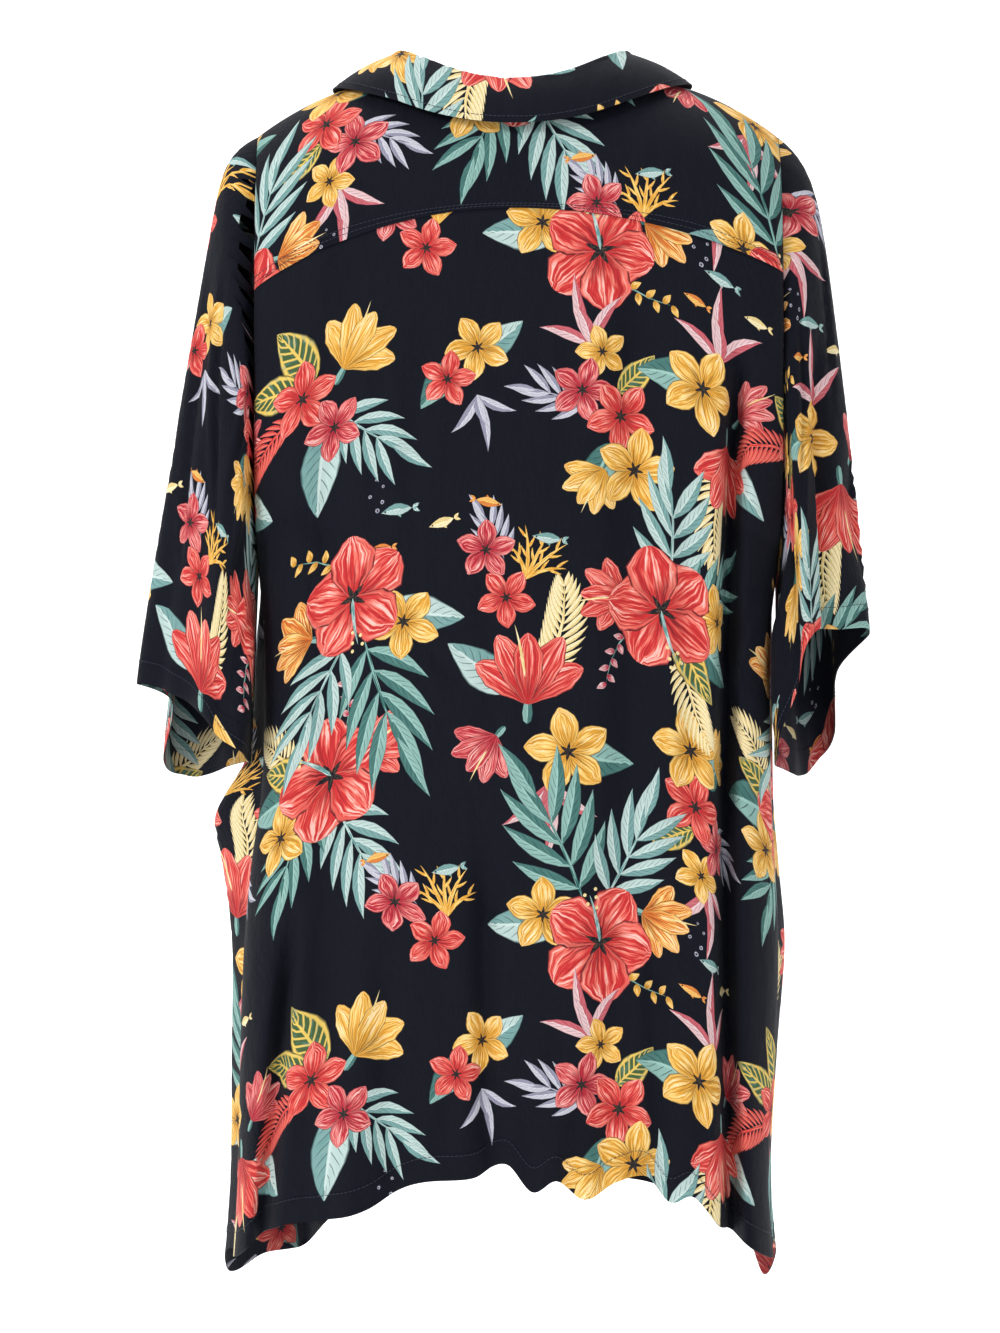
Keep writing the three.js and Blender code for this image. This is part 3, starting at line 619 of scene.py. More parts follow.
def sleeve_panel(side):
    """An open tube from the armhole to the cuff. Angle 0 is the shoulder line, 90 the back."""
    way = -1 if side == "left" else 1
    turned = np.linspace(-180, 180, 520)
    angle = np.where(turned < 0, turned + 360, turned)
    arm = way * ARM[side]
    on_back = angle <= 180
    drops = [ARM_FRACTION * hem_drop(half, np.array(float(arm))) for half in ("back", "front")]
    drop = np.where(on_back, *drops) / 2 * (1 - np.cos(np.radians(angle)))
    top = body_point(arm + 0 * angle, np.where(on_back, 1, -1) * down_of(drop))
    top[:, 0] += way * SEAM_GAP
    low = np.stack([at(angle) for at in cuff_curves(side)], axis=-1)
    t = np.linspace(0, 1, 190)[:, None] ** 1.3
    out, back = np.cos(np.radians(angle))[None], np.sin(np.radians(angle))[None]
    points = mix(top[None], low[None], t[..., None])
    cap = CAP_SWELL[side] * (1 - np.exp(-t / CAP_START[side])) * (1 - t) ** CAP_FADE
    points[..., 0] += way * cap * np.maximum(0, out)
    puff = np.where(back > 0, BACK_PUFF[side], FRONT_PUFF) * (1 - np.exp(-t / PUFF_START))
    points[..., 1] -= puff * (1 - t) ** PUFF_FADE * back
    angles, shares = turned[None] + 0 * t, t + 0 * turned[None]
    deep = crease_depth(CREASES[f"sleeve_{side}"], angles, shares, DEGREE_WIDE, SLEEVE_LONG)
    for fold_angle, wide, start, end, depth in SLEEVE_FOLDS[side]:
        fade = ease((t - start) / SLEEVE_FOLD_FADE) * ease((end - t) / SLEEVE_FOLD_FADE)
        deep = deep + depth * fade * np.exp(-(((angle[None] - fold_angle) / wide) ** 2))
    points[..., 0] -= way * out * deep
    points[..., 1] += back * deep
    if side == "right":
        points = points[:, ::-1]
    length = arc(points)
    return Panel(points, length - length[-1:], points.shape[1] // 2, top_lines=SLEEVE_LINES)


# The collar's stand, and how far its edge is off the body, from the middle of the back to its ends
COLLAR_SIZES = table(
    "turn stand off",
    (0, 25, 11), (0.4, 24, 7), (0.8, 16, 3.6), (1, 13, 3.6), (1.3, 5, 4.2),
)
LEAF_ACROSS = 139
LEAF_DOWN = 95
COLLAR_TIP = (98, -104)
ROLL_RADIUS = 2.2
STAND_LEAN = 3
STAND_CLEAR = 0.8
LEAF_SWELL = 2


def body_outward(across, down, probe=0.4):
    """The way straight out of the body's side."""
    arm = by_side(across, ARM["left"], ARM["right"])
    along = body_point(clamp(across + probe, -arm, arm), down)
    along = along - body_point(clamp(across - probe, -arm, arm), down)
    return unit(np.cross(body_point(across, down + probe) - body_point(across, down - probe), along))


def collar_panel():
    """The stand, the roll over its top and the leaf that lies over the yoke."""
    turn = np.linspace(-1 - COLLAR_REACH, 1 + COLLAR_REACH, 560)
    across, down = neck_place(turn)
    neck = body_point(across, down)
    out = unit(neck * [1, 1, 0])
    up = np.array([0.0, 0, 1])
    neck = neck + body_outward(across, down) + STAND_CLEAR * up
    stand = curve(COLLAR_SIZES, "turn", "stand")(np.abs(turn))
    off = curve(COLLAR_SIZES, "turn", "off")(np.abs(turn))
    heart = neck + STAND_LEAN * out + (stand - ROLL_RADIUS)[:, None] * up
    roll = [
        heart + ROLL_RADIUS * (math.cos(a) * out + math.sin(a) * up)
        for a in np.radians(np.linspace(180, 0, 13))
    ]
    leaf_angle = clamp(turn, -1, 1) * NECK_SEAM_ANGLE
    t = clamp(np.abs(turn) - 1, 0, 1) / COLLAR_REACH
    leaf_across = mix(LEAF_ACROSS * np.sin(leaf_angle), np.sign(turn) * COLLAR_TIP[0], t)
    leaf_down = mix(LEAF_DOWN * np.cos(leaf_angle), COLLAR_TIP[1], t)
    edge = body_point(leaf_across, leaf_down) + body_outward(leaf_across, leaf_down) * off[:, None]
    stand_rows = [mix(neck, roll[0], s) for s in np.linspace(0, 1, 12, endpoint=False)]
    leaf_rows = [
        mix(roll[-1], edge, s) + LEAF_SWELL * math.sin(s * math.pi) * (out + up)
        for s in np.linspace(0, 1, 36)[1:]
    ]
    points = np.stack(stand_rows + roll + leaf_rows)
    length = arc(points)
    return Panel(points, length, points.shape[1] // 2, hem=FAR + 0 * length)


LAPEL_OFF = 2.4
LAPEL_TIP = (96, -122)
LAPEL_ENDS = {"left": 0.98, "right": 0.8}
LAPEL_HEM = 4
LAPEL_GAP = 0.03
LAPEL_BOW = 1.15
CLOTH = 1.5


def lapel_panel(side):
    """The turned-out corner of a front, from the neckline to its tip."""
    way = -1 if side == "left" else 1
    end = LAPEL_ENDS[side]
    f = np.linspace(0, 1, 90)[:, None]
    c = np.linspace(0, 1, 70)[None]
    inner_across, inner_down = neck_place(way * mix(1 + COLLAR_REACH + LAPEL_GAP, 1 + end, f))
    low_across, low_down = neck_place(np.array(way * (1 + end)))
    outer_across = mix(way * LAPEL_TIP[0], low_across + way * LAPEL_HEM, f)
    outer_down = mix(LAPEL_TIP[1], low_down - 1, f**LAPEL_BOW)
    across = mix(inner_across + way, outer_across, c)
    down = mix(inner_down - 1, outer_down, c)
    lift = lap_lift(across) if side == "left" else 0 * across
    points = body_point(across, down) + body_outward(across, down) * (LAPEL_OFF + CLOTH)
    points[..., 1] += lift
    if side == "right":
        points, down = points[:, ::-1], down[:, ::-1]
    middle = 0 if side == "left" else points.shape[1] - 1
    return Panel(points, -down, middle, hem=FAR + 0 * down, slanted=True)


def colour(red, green, blue):
    """A colour given as the eye reads it, from 0 to 255, as the linear one that shaders take."""
    shares = (red / 255, green / 255, blue / 255)
    return tuple(((c + 0.055) / 1.055) ** 2.4 if c > 10 / 255 else c / 12.92 for c in shares)


# Inks of the print: the main tone and the lighter one that is brushed over it
INKS = {
    "coral": (colour(196, 48, 50), colour(232, 118, 104)),
    "rose": (colour(178, 40, 56), colour(226, 128, 124)),
    "gold": (colour(214, 152, 52), colour(244, 206, 122)),
    "amber": (colour(206, 108, 44), colour(240, 196, 110)),
    "teal": (colour(38, 92, 88), colour(150, 190, 182)),
    "aqua": (colour(92, 142, 140), colour(196, 214, 210)),
    "mist": (colour(128, 128, 150), colour(208, 208, 218)),
    "moss": (colour(66, 92, 58), colour(222, 190, 96)),
    "cream": (colour(222, 196, 128), colour(246, 232, 190)),
    "blush": (colour(186, 50, 70), colour(226, 206, 208)),
    "night": (colour(20, 22, 30), colour(70, 60, 50)),
}
NAVY = colour(6, 9, 22)
PALE = colour(244, 238, 228)

# The cloth's materials by number, the outlines of blades as half widths along them, and the number
# of steps in each outline
KINDS = {"ground": 0, "petal": 1, "leaf": 2, "variegated": 3, "plain": 4}
PROFILES = {
    "petal": lambda u: np.sin(math.pi * u**1.35) ** 0.62 * (1 + 0.07 * np.sin(21 * u)),
    "round": lambda u: np.sin(math.pi * u**1.2) ** 0.8,
    "leaf": lambda u: np.sin(math.pi * u**0.85) ** 1.1,
    "broad": lambda u: np.sin(math.pi * u**0.75) ** 0.85 * (1 + 0.04 * np.sin(34 * u)),
    "strap": lambda u: np.sin(math.pi * u**0.6) ** 0.8,
    "disc": lambda u: 2 * np.sqrt(u * (1 - u)),
}
STEPS = {"petal": 11, "round": 9, "leaf": 8, "broad": 11, "strap": 5, "disc": 5}


class Blade:
    """One petal, leaf or stroke of the print: a shape about a middle line that may bend."""

    def __init__(self, base, turn, length, half, profile, kind, ink, bend=0.0):
        self.base = np.array(base, float)
        self.turn = math.radians(turn)
        self.bend = math.radians(bend if abs(bend) > 0.05 else 0.05)
        self.length, self.half = length, half
        self.profile, self.kind, self.ink = profile, kind, ink

    def middle(self, u):
        radius = self.length / self.bend
        heading = self.turn + self.bend * u
        across = radius * (np.sin(heading) - math.sin(self.turn))
        up = -radius * (np.cos(heading) - math.cos(self.turn))
        normal = np.stack([-np.sin(heading), np.cos(heading)], axis=-1)
        return self.base + np.stack([across, up], axis=-1), normal

    def outline(self):
        steps = STEPS[self.profile]
        u = (1 - np.cos(np.linspace(0, math.pi, steps + 1))) / 2
        points, normal = self.middle(u)
        wide = (self.half * PROFILES[self.profile](clamp(u, 1e-4, 1 - 1e-4)))[:, None] * normal
        return np.concatenate([points - wide, (points + wide)[-2:0:-1]])

    def grain(self, points):
        """How far along the blade each point is (0 to 1), and how far to its side (-1 to 1)."""
        radius = self.length / self.bend
        sign = math.copysign(1, radius)
        heart = self.base + radius * np.array([-math.sin(self.turn), math.cos(self.turn)])
        q = (points - heart) * sign
        heading = np.arctan2(q[:, 0], -q[:, 1])
        swing = (heading - self.turn + math.pi) % (2 * math.pi) - math.pi
        u = clamp(swing / self.bend, 1e-3, 1 - 1e-3)
        aside = radius - sign * np.linalg.norm(q, axis=1)
        return u, clamp(aside / np.maximum(self.half * PROFILES[self.profile](u), 0.05), -1, 1)


def stroke(place, turn, length, half, ink, bend=0.0):
    return Blade(place, turn, length, half, "strap", "plain", ink, bend)


def dot(place, turn, length, half, ink):
    return Blade(place, turn, length, half, "disc", "plain", ink)


def at(x, y, turn, distance):
    """The place at a distance from another, in the direction of a turn in degrees."""
    return x + distance * math.cos(math.radians(turn)), y + distance * math.sin(math.radians(turn))


def hibiscus(x, y, turn, size, ink):
    blades = []
    for i, swing in enumerate((0, 150, 290, 76, 218)):
        length = size * (0.5 + 0.03 * math.sin(i * 2.1))
        bend = 14 if i % 2 else -12
        blades.append(Blade((x, y), turn + swing, length, size * 0.23, "petal", "petal", ink, bend))
    blades += [stroke((x, y), turn + a, size * 0.14, size * 0.025, "night") for a in range(20, 380, 72)]
    column = turn + 30
    blades.append(stroke((x, y), column, size * 0.42, size * 0.018, "aqua", 18))
    for i, reach in enumerate((0.28, 0.33, 0.37, 0.41, 0.44)):
        place = at(x, y, column + 6 + (9 if i % 2 else -5), size * reach)
        blades.append(dot(place, column, size * 0.032, size * 0.016, "cream"))
    return blades


def plumeria(x, y, turn, size, ink):
    blades = [
        Blade((x, y), turn + swing, size * 0.5, size * 0.165, "round", "petal", ink, 16)
        for swing in (0, 144, 288, 72, 216)
    ]
    return blades + [
        stroke((x, y), turn + a, size * 0.11, size * 0.02, "night") for a in range(0, 360, 60)
    ]


def lily(x, y, turn, size, ink):
    """A flower seen from its side, opening along its turn."""
    stalk = at(x, y, turn + 180, size * 0.18)
    blades = [Blade(stalk, turn, size * 0.3, size * 0.05, "strap", "leaf", "teal")]
    rows = ((38, 0.62, 34), (-38, 0.62, -34), (20, 0.7, 12), (-20, 0.7, -12), (0, 0.66, 4))
    for swing, length, bend in rows:
        blades.append(Blade((x, y), turn + swing, size * length, size * 0.14, "petal", "petal", ink, bend))
    tip = turn + 8
    blades.append(stroke(at(x, y, tip, size * 0.25), tip, size * 0.5, size * 0.014, "cream", 10))
    return blades


def spray(x, y, turn, size, ink):
    """A stem with long leaves in pairs, the longest in the middle."""
    stem = stroke((x, y), turn, size * 0.72, size * 0.012, ink, 14)
    blades = [stem]
    for i, t in enumerate((0.1, 0.3, 0.5, 0.7)):
        (px, py), _ = stem.middle(np.array(t))
        length = size * (0.42 + 0.1 * math.sin(math.pi * t))
        for side in (-1, 1):
            lean = turn + side * (52 - 9 * i) + 6 * side * math.sin(3 * t + side)
            blades.append(Blade((px, py), lean, length, size * 0.055, "leaf", "leaf", ink, -side * 16))
    (px, py), _ = stem.middle(np.array(0.96))
    blades.append(Blade((px, py), turn + 12, size * 0.42, size * 0.05, "leaf", "leaf", ink, 10))
    return blades


def fern(x, y, turn, size, ink):
    """A frond: a bending rib with narrow leaflets on both sides."""
    rib = stroke((x, y), turn, size, size * 0.018, ink, 42)
    blades = []
    for t in np.linspace(0.12, 0.96, 13):
        point, _ = rib.middle(np.array(t))
        heading = turn + 42 * t
        length = size * 0.36 * math.sin(math.pi * (0.12 + 0.8 * t)) ** 0.8
        for side in (-1, 1):
            lean = heading + side * (64 - 30 * t)
            blades.append(Blade(point, lean, length, size * 0.026, "leaf", "leaf", ink, -side * 30))
    return blades + [rib]


def broad(x, y, turn, size, ink):
    kind = "variegated" if ink == "moss" else "leaf"
    return [Blade((x, y), turn, size, size * 0.25, "broad", kind, ink, 12)]


def bracts(x, y, turn, size, ink):
    """Slender drooping petals in a fan."""
    rows = ((-34, 0.8, -40), (30, 0.74, 36), (2, 1.0, -22), (-16, 0.6, 30))
    return [
        Blade((x, y), turn + swing, size * length, size * 0.085, "leaf", "leaf", ink, bend)
        for swing, length, bend in rows
    ]


def coral(x, y, turn, size, ink):
    blades = []
    for swing, reach in ((-50, 0.8), (-24, 1.0), (0, 0.9), (26, 1.0), (52, 0.75)):
        branch = stroke((x, y), turn + swing * 0.5, size * reach, size * 0.035, ink, swing)
        blades.append(branch)
        for t, side in ((0.4, 1), (0.58, -1), (0.76, 1)):
            point, _ = branch.middle(np.array(t))
            lean = turn + swing * (0.5 + t) + side * 42
            blades.append(stroke(point, lean, size * 0.26, size * 0.026, ink, -side * 20))
    return blades


def buds(x, y, turn, size, ink):
    stem = stroke((x, y), turn, size, size * 0.012, "teal", 50)
    blades = [stem]
    for i, t in enumerate(np.linspace(0.25, 1, 7)):
        point, _ = stem.middle(np.array(t))
        lean = turn + 50 * t + (60 if i % 2 else -60)
        blades.append(Blade(point, lean, size * 0.17, size * 0.05, "broad", "petal", ink))
    return blades


def fish(x, y, turn, size, ink):
    tail = at(x, y, turn + 180, size * 0.02)
    return [
        Blade(tail, turn + 150, size * 0.26, size * 0.06, "leaf", "plain", ink),
        Blade(tail, turn + 210, size * 0.26, size * 0.06, "leaf", "plain", ink),
        Blade(at(x, y, turn, size * 0.5), turn + 118, size * 0.3, size * 0.07, "leaf", "plain", ink),
        Blade((x, y), turn, size, size * 0.19, "leaf", "leaf", ink),
        dot(at(x, y, turn, size * 0.82), turn, size * 0.07, size * 0.035, "night"),
    ]


def bubbles(x, y, turn, size, ink):
    blades = []
    for i in range(5):
        across, up, wide = size * 0.25 * math.sin(i * 2.4), size * 0.24 * i, size * (0.15 - 0.018 * i)
        blades.append(dot((x + across - wide / 2, y + up), 0, wide, wide / 2, ink))
        inner = wide * 0.5
        blades.append(dot((x + across - inner / 2, y + up), 0, inner, inner / 2, "night"))
    return blades


DRAWN = (hibiscus, plumeria, lily, spray, fern, broad, bracts, coral, buds, fish, bubbles)
MOTIFS = {draw.__name__: draw for draw in DRAWN}

# Bunches of motifs, drawn in this order: motif, place, turn, size and ink
BUNCHES = {
    "red_heart": (
        ("spray", 8, -14, 292, 92, "aqua"), ("spray", -8, -8, 238, 84, "teal"),
        ("fern", -22, 14, 118, 66, "cream"), ("broad", -14, 2, 176, 62, "teal"),
        ("broad", -12, 10, 150, 50, "moss"), ("lily", 30, 12, 24, 50, "coral"),
        ("buds", 14, 26, 66, 46, "blush"), ("plumeria", -34, -24, 20, 52, "gold"),
        ("hibiscus", 4, 4, 100, 84, "coral"),
    ),
    "gold_fall": (
        ("broad", 4, 12, 38, 46, "teal"), ("bracts", -4, -56, 272, 52, "blush"),
        ("broad", -12, -20, 200, 38, "moss"), ("lily", 16, 26, 30, 46, "gold"),
        ("spray", 12, -18, 316, 54, "mist"), ("plumeria", -10, -50, 44, 38, "gold"),
        ("plumeria", 12, -30, 10, 46, "rose"), ("plumeria", -8, -4, 62, 52, "coral"),
        ("plumeria", -6, 34, 90, 60, "gold"),
    ),
    "lily_fern": (
        ("fern", 6, 20, 62, 74, "cream"), ("broad", -14, 12, 142, 52, "aqua"),
        ("bracts", 24, -44, 284, 56, "blush"), ("broad", 30, -22, 352, 52, "teal"),
        ("lily", -16, -18, 236, 48, "rose"), ("lily", 2, 6, 96, 74, "coral"),
        ("plumeria", 34, -22, 30, 62, "gold"),
    ),
    "leaf_crown": (
        ("spray", -8, 10, 104, 110, "teal"), ("spray", 8, 8, 52, 92, "aqua"),
        ("broad", -26, -8, 168, 52, "aqua"), ("plumeria", -36, 2, 80, 52, "gold"),
        ("lily", 34, -2, 344, 52, "amber"), ("buds", 8, -34, 306, 50, "gold"),
        ("hibiscus", 2, -20, 60, 80, "coral"),
    ),
    "moss_bow": (
        ("fern", -18, -4, 196, 62, "coral"), ("broad", -6, 16, 122, 54, "moss"),
        ("broad", -16, 12, 164, 50, "moss"), ("broad", 6, -18, 262, 60, "aqua"),
        ("spray", 14, -10, 320, 76, "aqua"), ("lily", 16, 18, 58, 62, "gold"),
        ("plumeria", -14, 6, 12, 52, "coral"), ("plumeria", 12, -20, 40, 46, "rose"),
    ),
    "reef": (
        ("coral", 16, -4, 84, 38, "gold"), ("spray", -2, 4, 128, 46, "mist"),
        ("plumeria", -16, 6, 30, 42, "rose"), ("plumeria", 8, -20, 70, 42, "coral"),
        ("fish", 30, 30, 192, 20, "aqua"), ("fish", -34, 36, 8, 18, "amber"),
    ),
    "small_pair": (
        ("broad", 6, 2, 20, 42, "aqua"), ("broad", -6, 0, 216, 40, "teal"),
        ("plumeria", 10, 8, 30, 46, "gold"), ("plumeria", -14, -10, 64, 40, "coral"),
        ("bracts", 4, -24, 280, 40, "mist"),
    ),
    "shoal": (
        ("fish", 0, 0, 172, 22, "aqua"), ("fish", 26, -14, 186, 18, "cream"),
        ("fish", -20, -22, 164, 17, "amber"), ("bubbles", -24, 6, 0, 22, "mist"),
    ),
}

# One repeat of the print, and where its bunches lie in it: name, place and turn. Bunches whose place
# is further than PRINT_REACH from a flat piece are left out of it.
PRINT_REACH = 120
REPEAT = (440, 520)
BUNCH_SCALE = 1.1
LAYOUT = (
    ("red_heart", 66, 430, 0), ("lily_fern", 222, 470, -8), ("gold_fall", 366, 414, 6),
    ("reef", 140, 322, 0), ("leaf_crown", 276, 320, 4), ("shoal", 384, 292, 0),
    ("moss_bow", 64, 200, -6), ("small_pair", 178, 214, 10), ("gold_fall", 290, 166, -160),
    ("lily_fern", 398, 178, 176), ("shoal", 138, 104, 14), ("leaf_crown", 92, 22, 178),
    ("reef", 208, 60, -20), ("red_heart", 336, 32, 150),
)


def turned(x, y, turn):
    """A place turned about the origin."""
    c, s = math.cos(math.radians(turn)), math.sin(math.radians(turn))
    return x * c - y * s, x * s + y * c


def print_blades(low, high, offset):
    """The blades of the repeating print that may fall between two corners of a flat piece."""
    low, high = low - PRINT_REACH, high + PRINT_REACH
    blades = []
    first = [math.floor((low[k] - offset[k]) / REPEAT[k]) for k in (0, 1)]
    last = [math.ceil((high[k] - offset[k]) / REPEAT[k]) for k in (0, 1)]
    for i in range(first[0], last[0] + 1):
        for j in range(first[1], last[1] + 1):
            for bunch, bx, by, bunch_turn in LAYOUT:
                x0, y0 = offset[0] + i * REPEAT[0] + bx, offset[1] + j * REPEAT[1] + by
                if not (low[0] < x0 < high[0] and low[1] < y0 < high[1]):
                    continue
                for motif, x, y, turn, size, ink in BUNCHES[bunch]:
                    dx, dy = turned(x * BUNCH_SCALE, y * BUNCH_SCALE, bunch_turn)
                    blades += MOTIFS[motif](x0 + dx, y0 + dy, turn + bunch_turn, size * BUNCH_SCALE, ink)
    return blades


def inside(points, outline):
    """Which points lie inside a closed outline."""
    (x0, y0), (x1, y1) = outline.T, np.roll(outline, -1, axis=0).T
    x, y = points[:, :1], points[:, 1:]
    rise = np.where(y1 == y0, 1, y1 - y0)
    crossed = ((y > y0) != (y > y1)) & (x < x0 + (y - y0) * (x1 - x0) / rise)
    return crossed.sum(1) % 2 == 1


def near(points, outline, distance):
    """Which points lie close to a closed outline."""
    found = np.zeros(len(points), bool)
    for a, b in zip(outline, np.roll(outline, -1, axis=0)):
        way = b - a
        t = clamp(((points - a) @ way) / max(way @ way, 1e-9))
        found |= ((points - a - t[:, None] * way) ** 2).sum(1) < distance**2
    return found


# How near to the outline base points may come, as a share of a step, and the extra rows, as a share
# of their distance from the top edge
BASE_CLEAR = 0.45
LINE_CLEAR = 0.8
# Points that come closer than this are joined
JOIN_WITHIN = 0.02


def cut_print(panel, offset, steps):
    """Cuts the flat piece into triangles along the print.

    Returns the flat points, the triangles, each triangle's blade as its number in the last list,
    where 0 is the ground, and that list.
    """
    outline = panel.border(min(steps) / 2)
    low, high = outline.min(0), outline.max(0)
    across = np.arange(low[0] + steps[0] / 2, high[0], steps[0])
    up = np.arange(low[1] + steps[1] / 2, high[1], steps[1])
    x, y = np.meshgrid(across, up)
    x[1::2] += steps[0] / 2
    base = np.stack([x.ravel(), y.ravel()], axis=-1)
    base = base[inside(base, outline) & ~near(base, outline, BASE_CLEAR * min(steps))]
    top = panel.flat[0]
    if panel.top_lines:
        kept_free = panel.top_lines[-1] + 0.5 * steps[1]
        base = base[~near(base, np.concatenate([top, top[::-1]]), kept_free)]
    lines = [np.zeros((0, 2))]
    way = unit(np.gradient(top, axis=0)) * np.sign(top[-1, 0] - top[0, 0])
    for distance in panel.top_lines:
        row = top + distance * np.stack([way[:, 1], -way[:, 0]], axis=-1)
        length = arc(row)
        at_step = np.arange(steps[0] / 2, length[-1], steps[0] / 2)
        line = on_line(row, length, at_step)
        lines.append(line[inside(line, outline) & ~near(line, outline, LINE_CLEAR * distance)])
    base = np.concatenate([base, *lines])
    points = [*outline, *base]
    faces = [list(range(len(outline)))]
    blades = [None]
    for blade in print_blades(low, high, offset):
        shape = blade.outline()
        if not inside(shape, outline).any():
            continue
        faces.append(list(range(len(points), len(points) + len(shape))))
        points += list(shape)
        blades.append(blade)
    made = delaunay_2d_cdt([Vector(p) for p in points], [], faces, 0, JOIN_WITHIN)
    flat, triangles, origins = np.array(made[0], float), made[2], made[5]
    kept = [(corners, max(of)) for corners, of in zip(triangles, origins) if len(corners) == 3 and 0 in of]
    triangles = np.array([corners for corners, _ in kept])
    a, b, c = (flat[triangles[:, k], :2] for k in range(3))
    area = (b[:, 0] - a[:, 0]) * (c[:, 1] - a[:, 1]) - (b[:, 1] - a[:, 1]) * (c[:, 0] - a[:, 0])
    triangles[area < 0] = triangles[area < 0][:, ::-1]
    used, triangles = np.unique(triangles, return_inverse=True)
    return flat[used, :2], triangles.reshape(-1, 3), np.array([top for _, top in kept]), blades


# Blades share this many seeds for the noise in their materials
SEEDS = 97


def print_values(flat, outer, tops, blades):
    """For each outer face its two inks and its material, and for each corner its place on its blade."""
    grain = np.zeros((3 * len(outer), 3))
    ink = np.tile(NAVY, (len(outer), 1))
    tint = ink.copy()
    kinds = np.zeros(len(outer), int)
    for top in np.unique(tops[tops > 0]):
        blade, mine = blades[top], np.flatnonzero(tops == top)
        at_corner = (mine[:, None] * 3 + np.arange(3)).ravel()
        u, v = blade.grain(flat[outer[mine].ravel()])
        grain[at_corner] = np.stack([u, v, 0 * u + top % SEEDS], axis=-1)
        ink[mine], tint[mine] = INKS[blade.ink]
        kinds[mine] = KINDS[blade.kind]
    return grain, ink, tint, kinds


# In the UV map the outer side fills the left half and the inner side the right one, up to this
# share of it. The rim lies in a strip above them, each of its faces this much of its place wide.
UV_SHARE = 0.96
RIM_AT = 0.985
RIM_HIGH = 0.01
RIM_LONG = 0.98
RIM_FACE = 0.6


def bake_map(flat, at_corner, is_inner, rims):
    """The UV places of every corner, none over another."""
    low, high = flat.min(0), flat.max(0)
    scale = UV_SHARE / max(2 * (high[0] - low[0]), high[1] - low[1])
    sides = ((flat - low) * scale)[at_corner] + is_inner[:, None] * [0.5, 0]
    strip = np.repeat(np.arange(rims), 4) + np.tile([RIM_FACE, 0, 0, RIM_FACE], rims)
    rise = RIM_AT + np.tile([0, 0, RIM_HIGH, RIM_HIGH], rims)
    return np.concatenate([sides, np.column_stack([strip * RIM_LONG / max(1, rims), rise])])


CORNER_FIELDS = {"FLOAT_COLOR": "color", "FLOAT_VECTOR": "vector", "FLOAT": "value"}


def add_corner_values(mesh, title, kind, values):
    layer = mesh.attributes.new(title, kind, "CORNER")
    layer.data.foreach_set(CORNER_FIELDS[kind], values.ravel())


def cloth_mesh(name, panel, offset, steps):
    """A thin closed shell of printed cloth, with the inner side a copy of the outer one.

    Its corners hold the print's inks, the place on the blade (grain), the place on the flat piece
    with a 1 for the inner side (thread) and the distance to the hem.
    """
    flat, outer, tops, blades = cut_print(panel, offset, steps)
    place = panel.find(flat)
    points, normals = panel.read(panel.points, place), unit(panel.read(panel.normals, place))
    count = len(flat)
    inner = outer[:, ::-1]
    edges = np.concatenate([outer[:, [0, 1]], outer[:, [1, 2]], outer[:, [2, 0]]])
    key = edges.min(1) * count + edges.max(1)
    _, first, uses = np.unique(key, return_index=True, return_counts=True)
    rim = edges[first[uses == 1]]
    rims, corners = len(rim), outer.size
    faces = outer.tolist() + (inner + count).tolist()
    faces += [[b, a, a + count, b + count] for a, b in rim.tolist()]
    mesh = bpy.data.meshes.new(name)
    mesh.from_pydata(np.concatenate([points, points - normals * THICK]) * MM, [], faces)

    grain, ink, tint, kinds = print_values(flat, outer, tops, blades)
    mesh.polygons.foreach_set("material_index", [*kinds, *kinds, *([0] * rims)])
    rim_zero = np.zeros((4 * rims, 3))
    for title, values in (("ink", ink), ("tint", tint)):
        wide = np.repeat(values, 3, axis=0)
        full = np.concatenate([wide, wide, rim_zero + NAVY])
        add_corner_values(mesh, title, "FLOAT_COLOR", np.column_stack([full, np.ones(len(full))]))
    inner_corner = np.arange(corners).reshape(-1, 3)[:, ::-1].ravel()
    add_corner_values(mesh, "grain", "FLOAT_VECTOR", np.concatenate([grain, grain[inner_corner], rim_zero]))
    at_corner = np.concatenate([outer.ravel(), inner.ravel()])
    is_inner = np.repeat([0.0, 1.0], corners)
    thread = np.column_stack([flat[at_corner], is_inner])
    add_corner_values(mesh, "thread", "FLOAT_VECTOR", np.concatenate([thread, rim_zero]))
    to_hem = panel.read(panel.hem, place)[at_corner, 0]
    add_corner_values(mesh, "hem", "FLOAT", np.concatenate([to_hem, np.zeros(4 * rims)]))
    layer = mesh.uv_layers.new(name="OFBake")
    layer.data.foreach_set("uv", bake_map(flat, at_corner, is_inner, rims).ravel())

    mesh.polygons.foreach_set("use_smooth", [True] * (2 * len(outer)) + [False] * rims)
    mesh.update()
    corner_normals = np.concatenate([normals[outer.ravel()], -normals[inner.ravel()]])
    rim_normals = np.repeat(unit(points[rim].mean(1) - points.mean(0)), 4, axis=0)
    mesh.normals_split_custom_set(np.concatenate([corner_normals, rim_normals]).tolist())
    for material in CLOTH_MATERIALS:
        mesh.materials.append(material)
    piece = bpy.data.objects.new(name, mesh)
    bpy.context.scene.collection.objects.link(piece)
    return piece


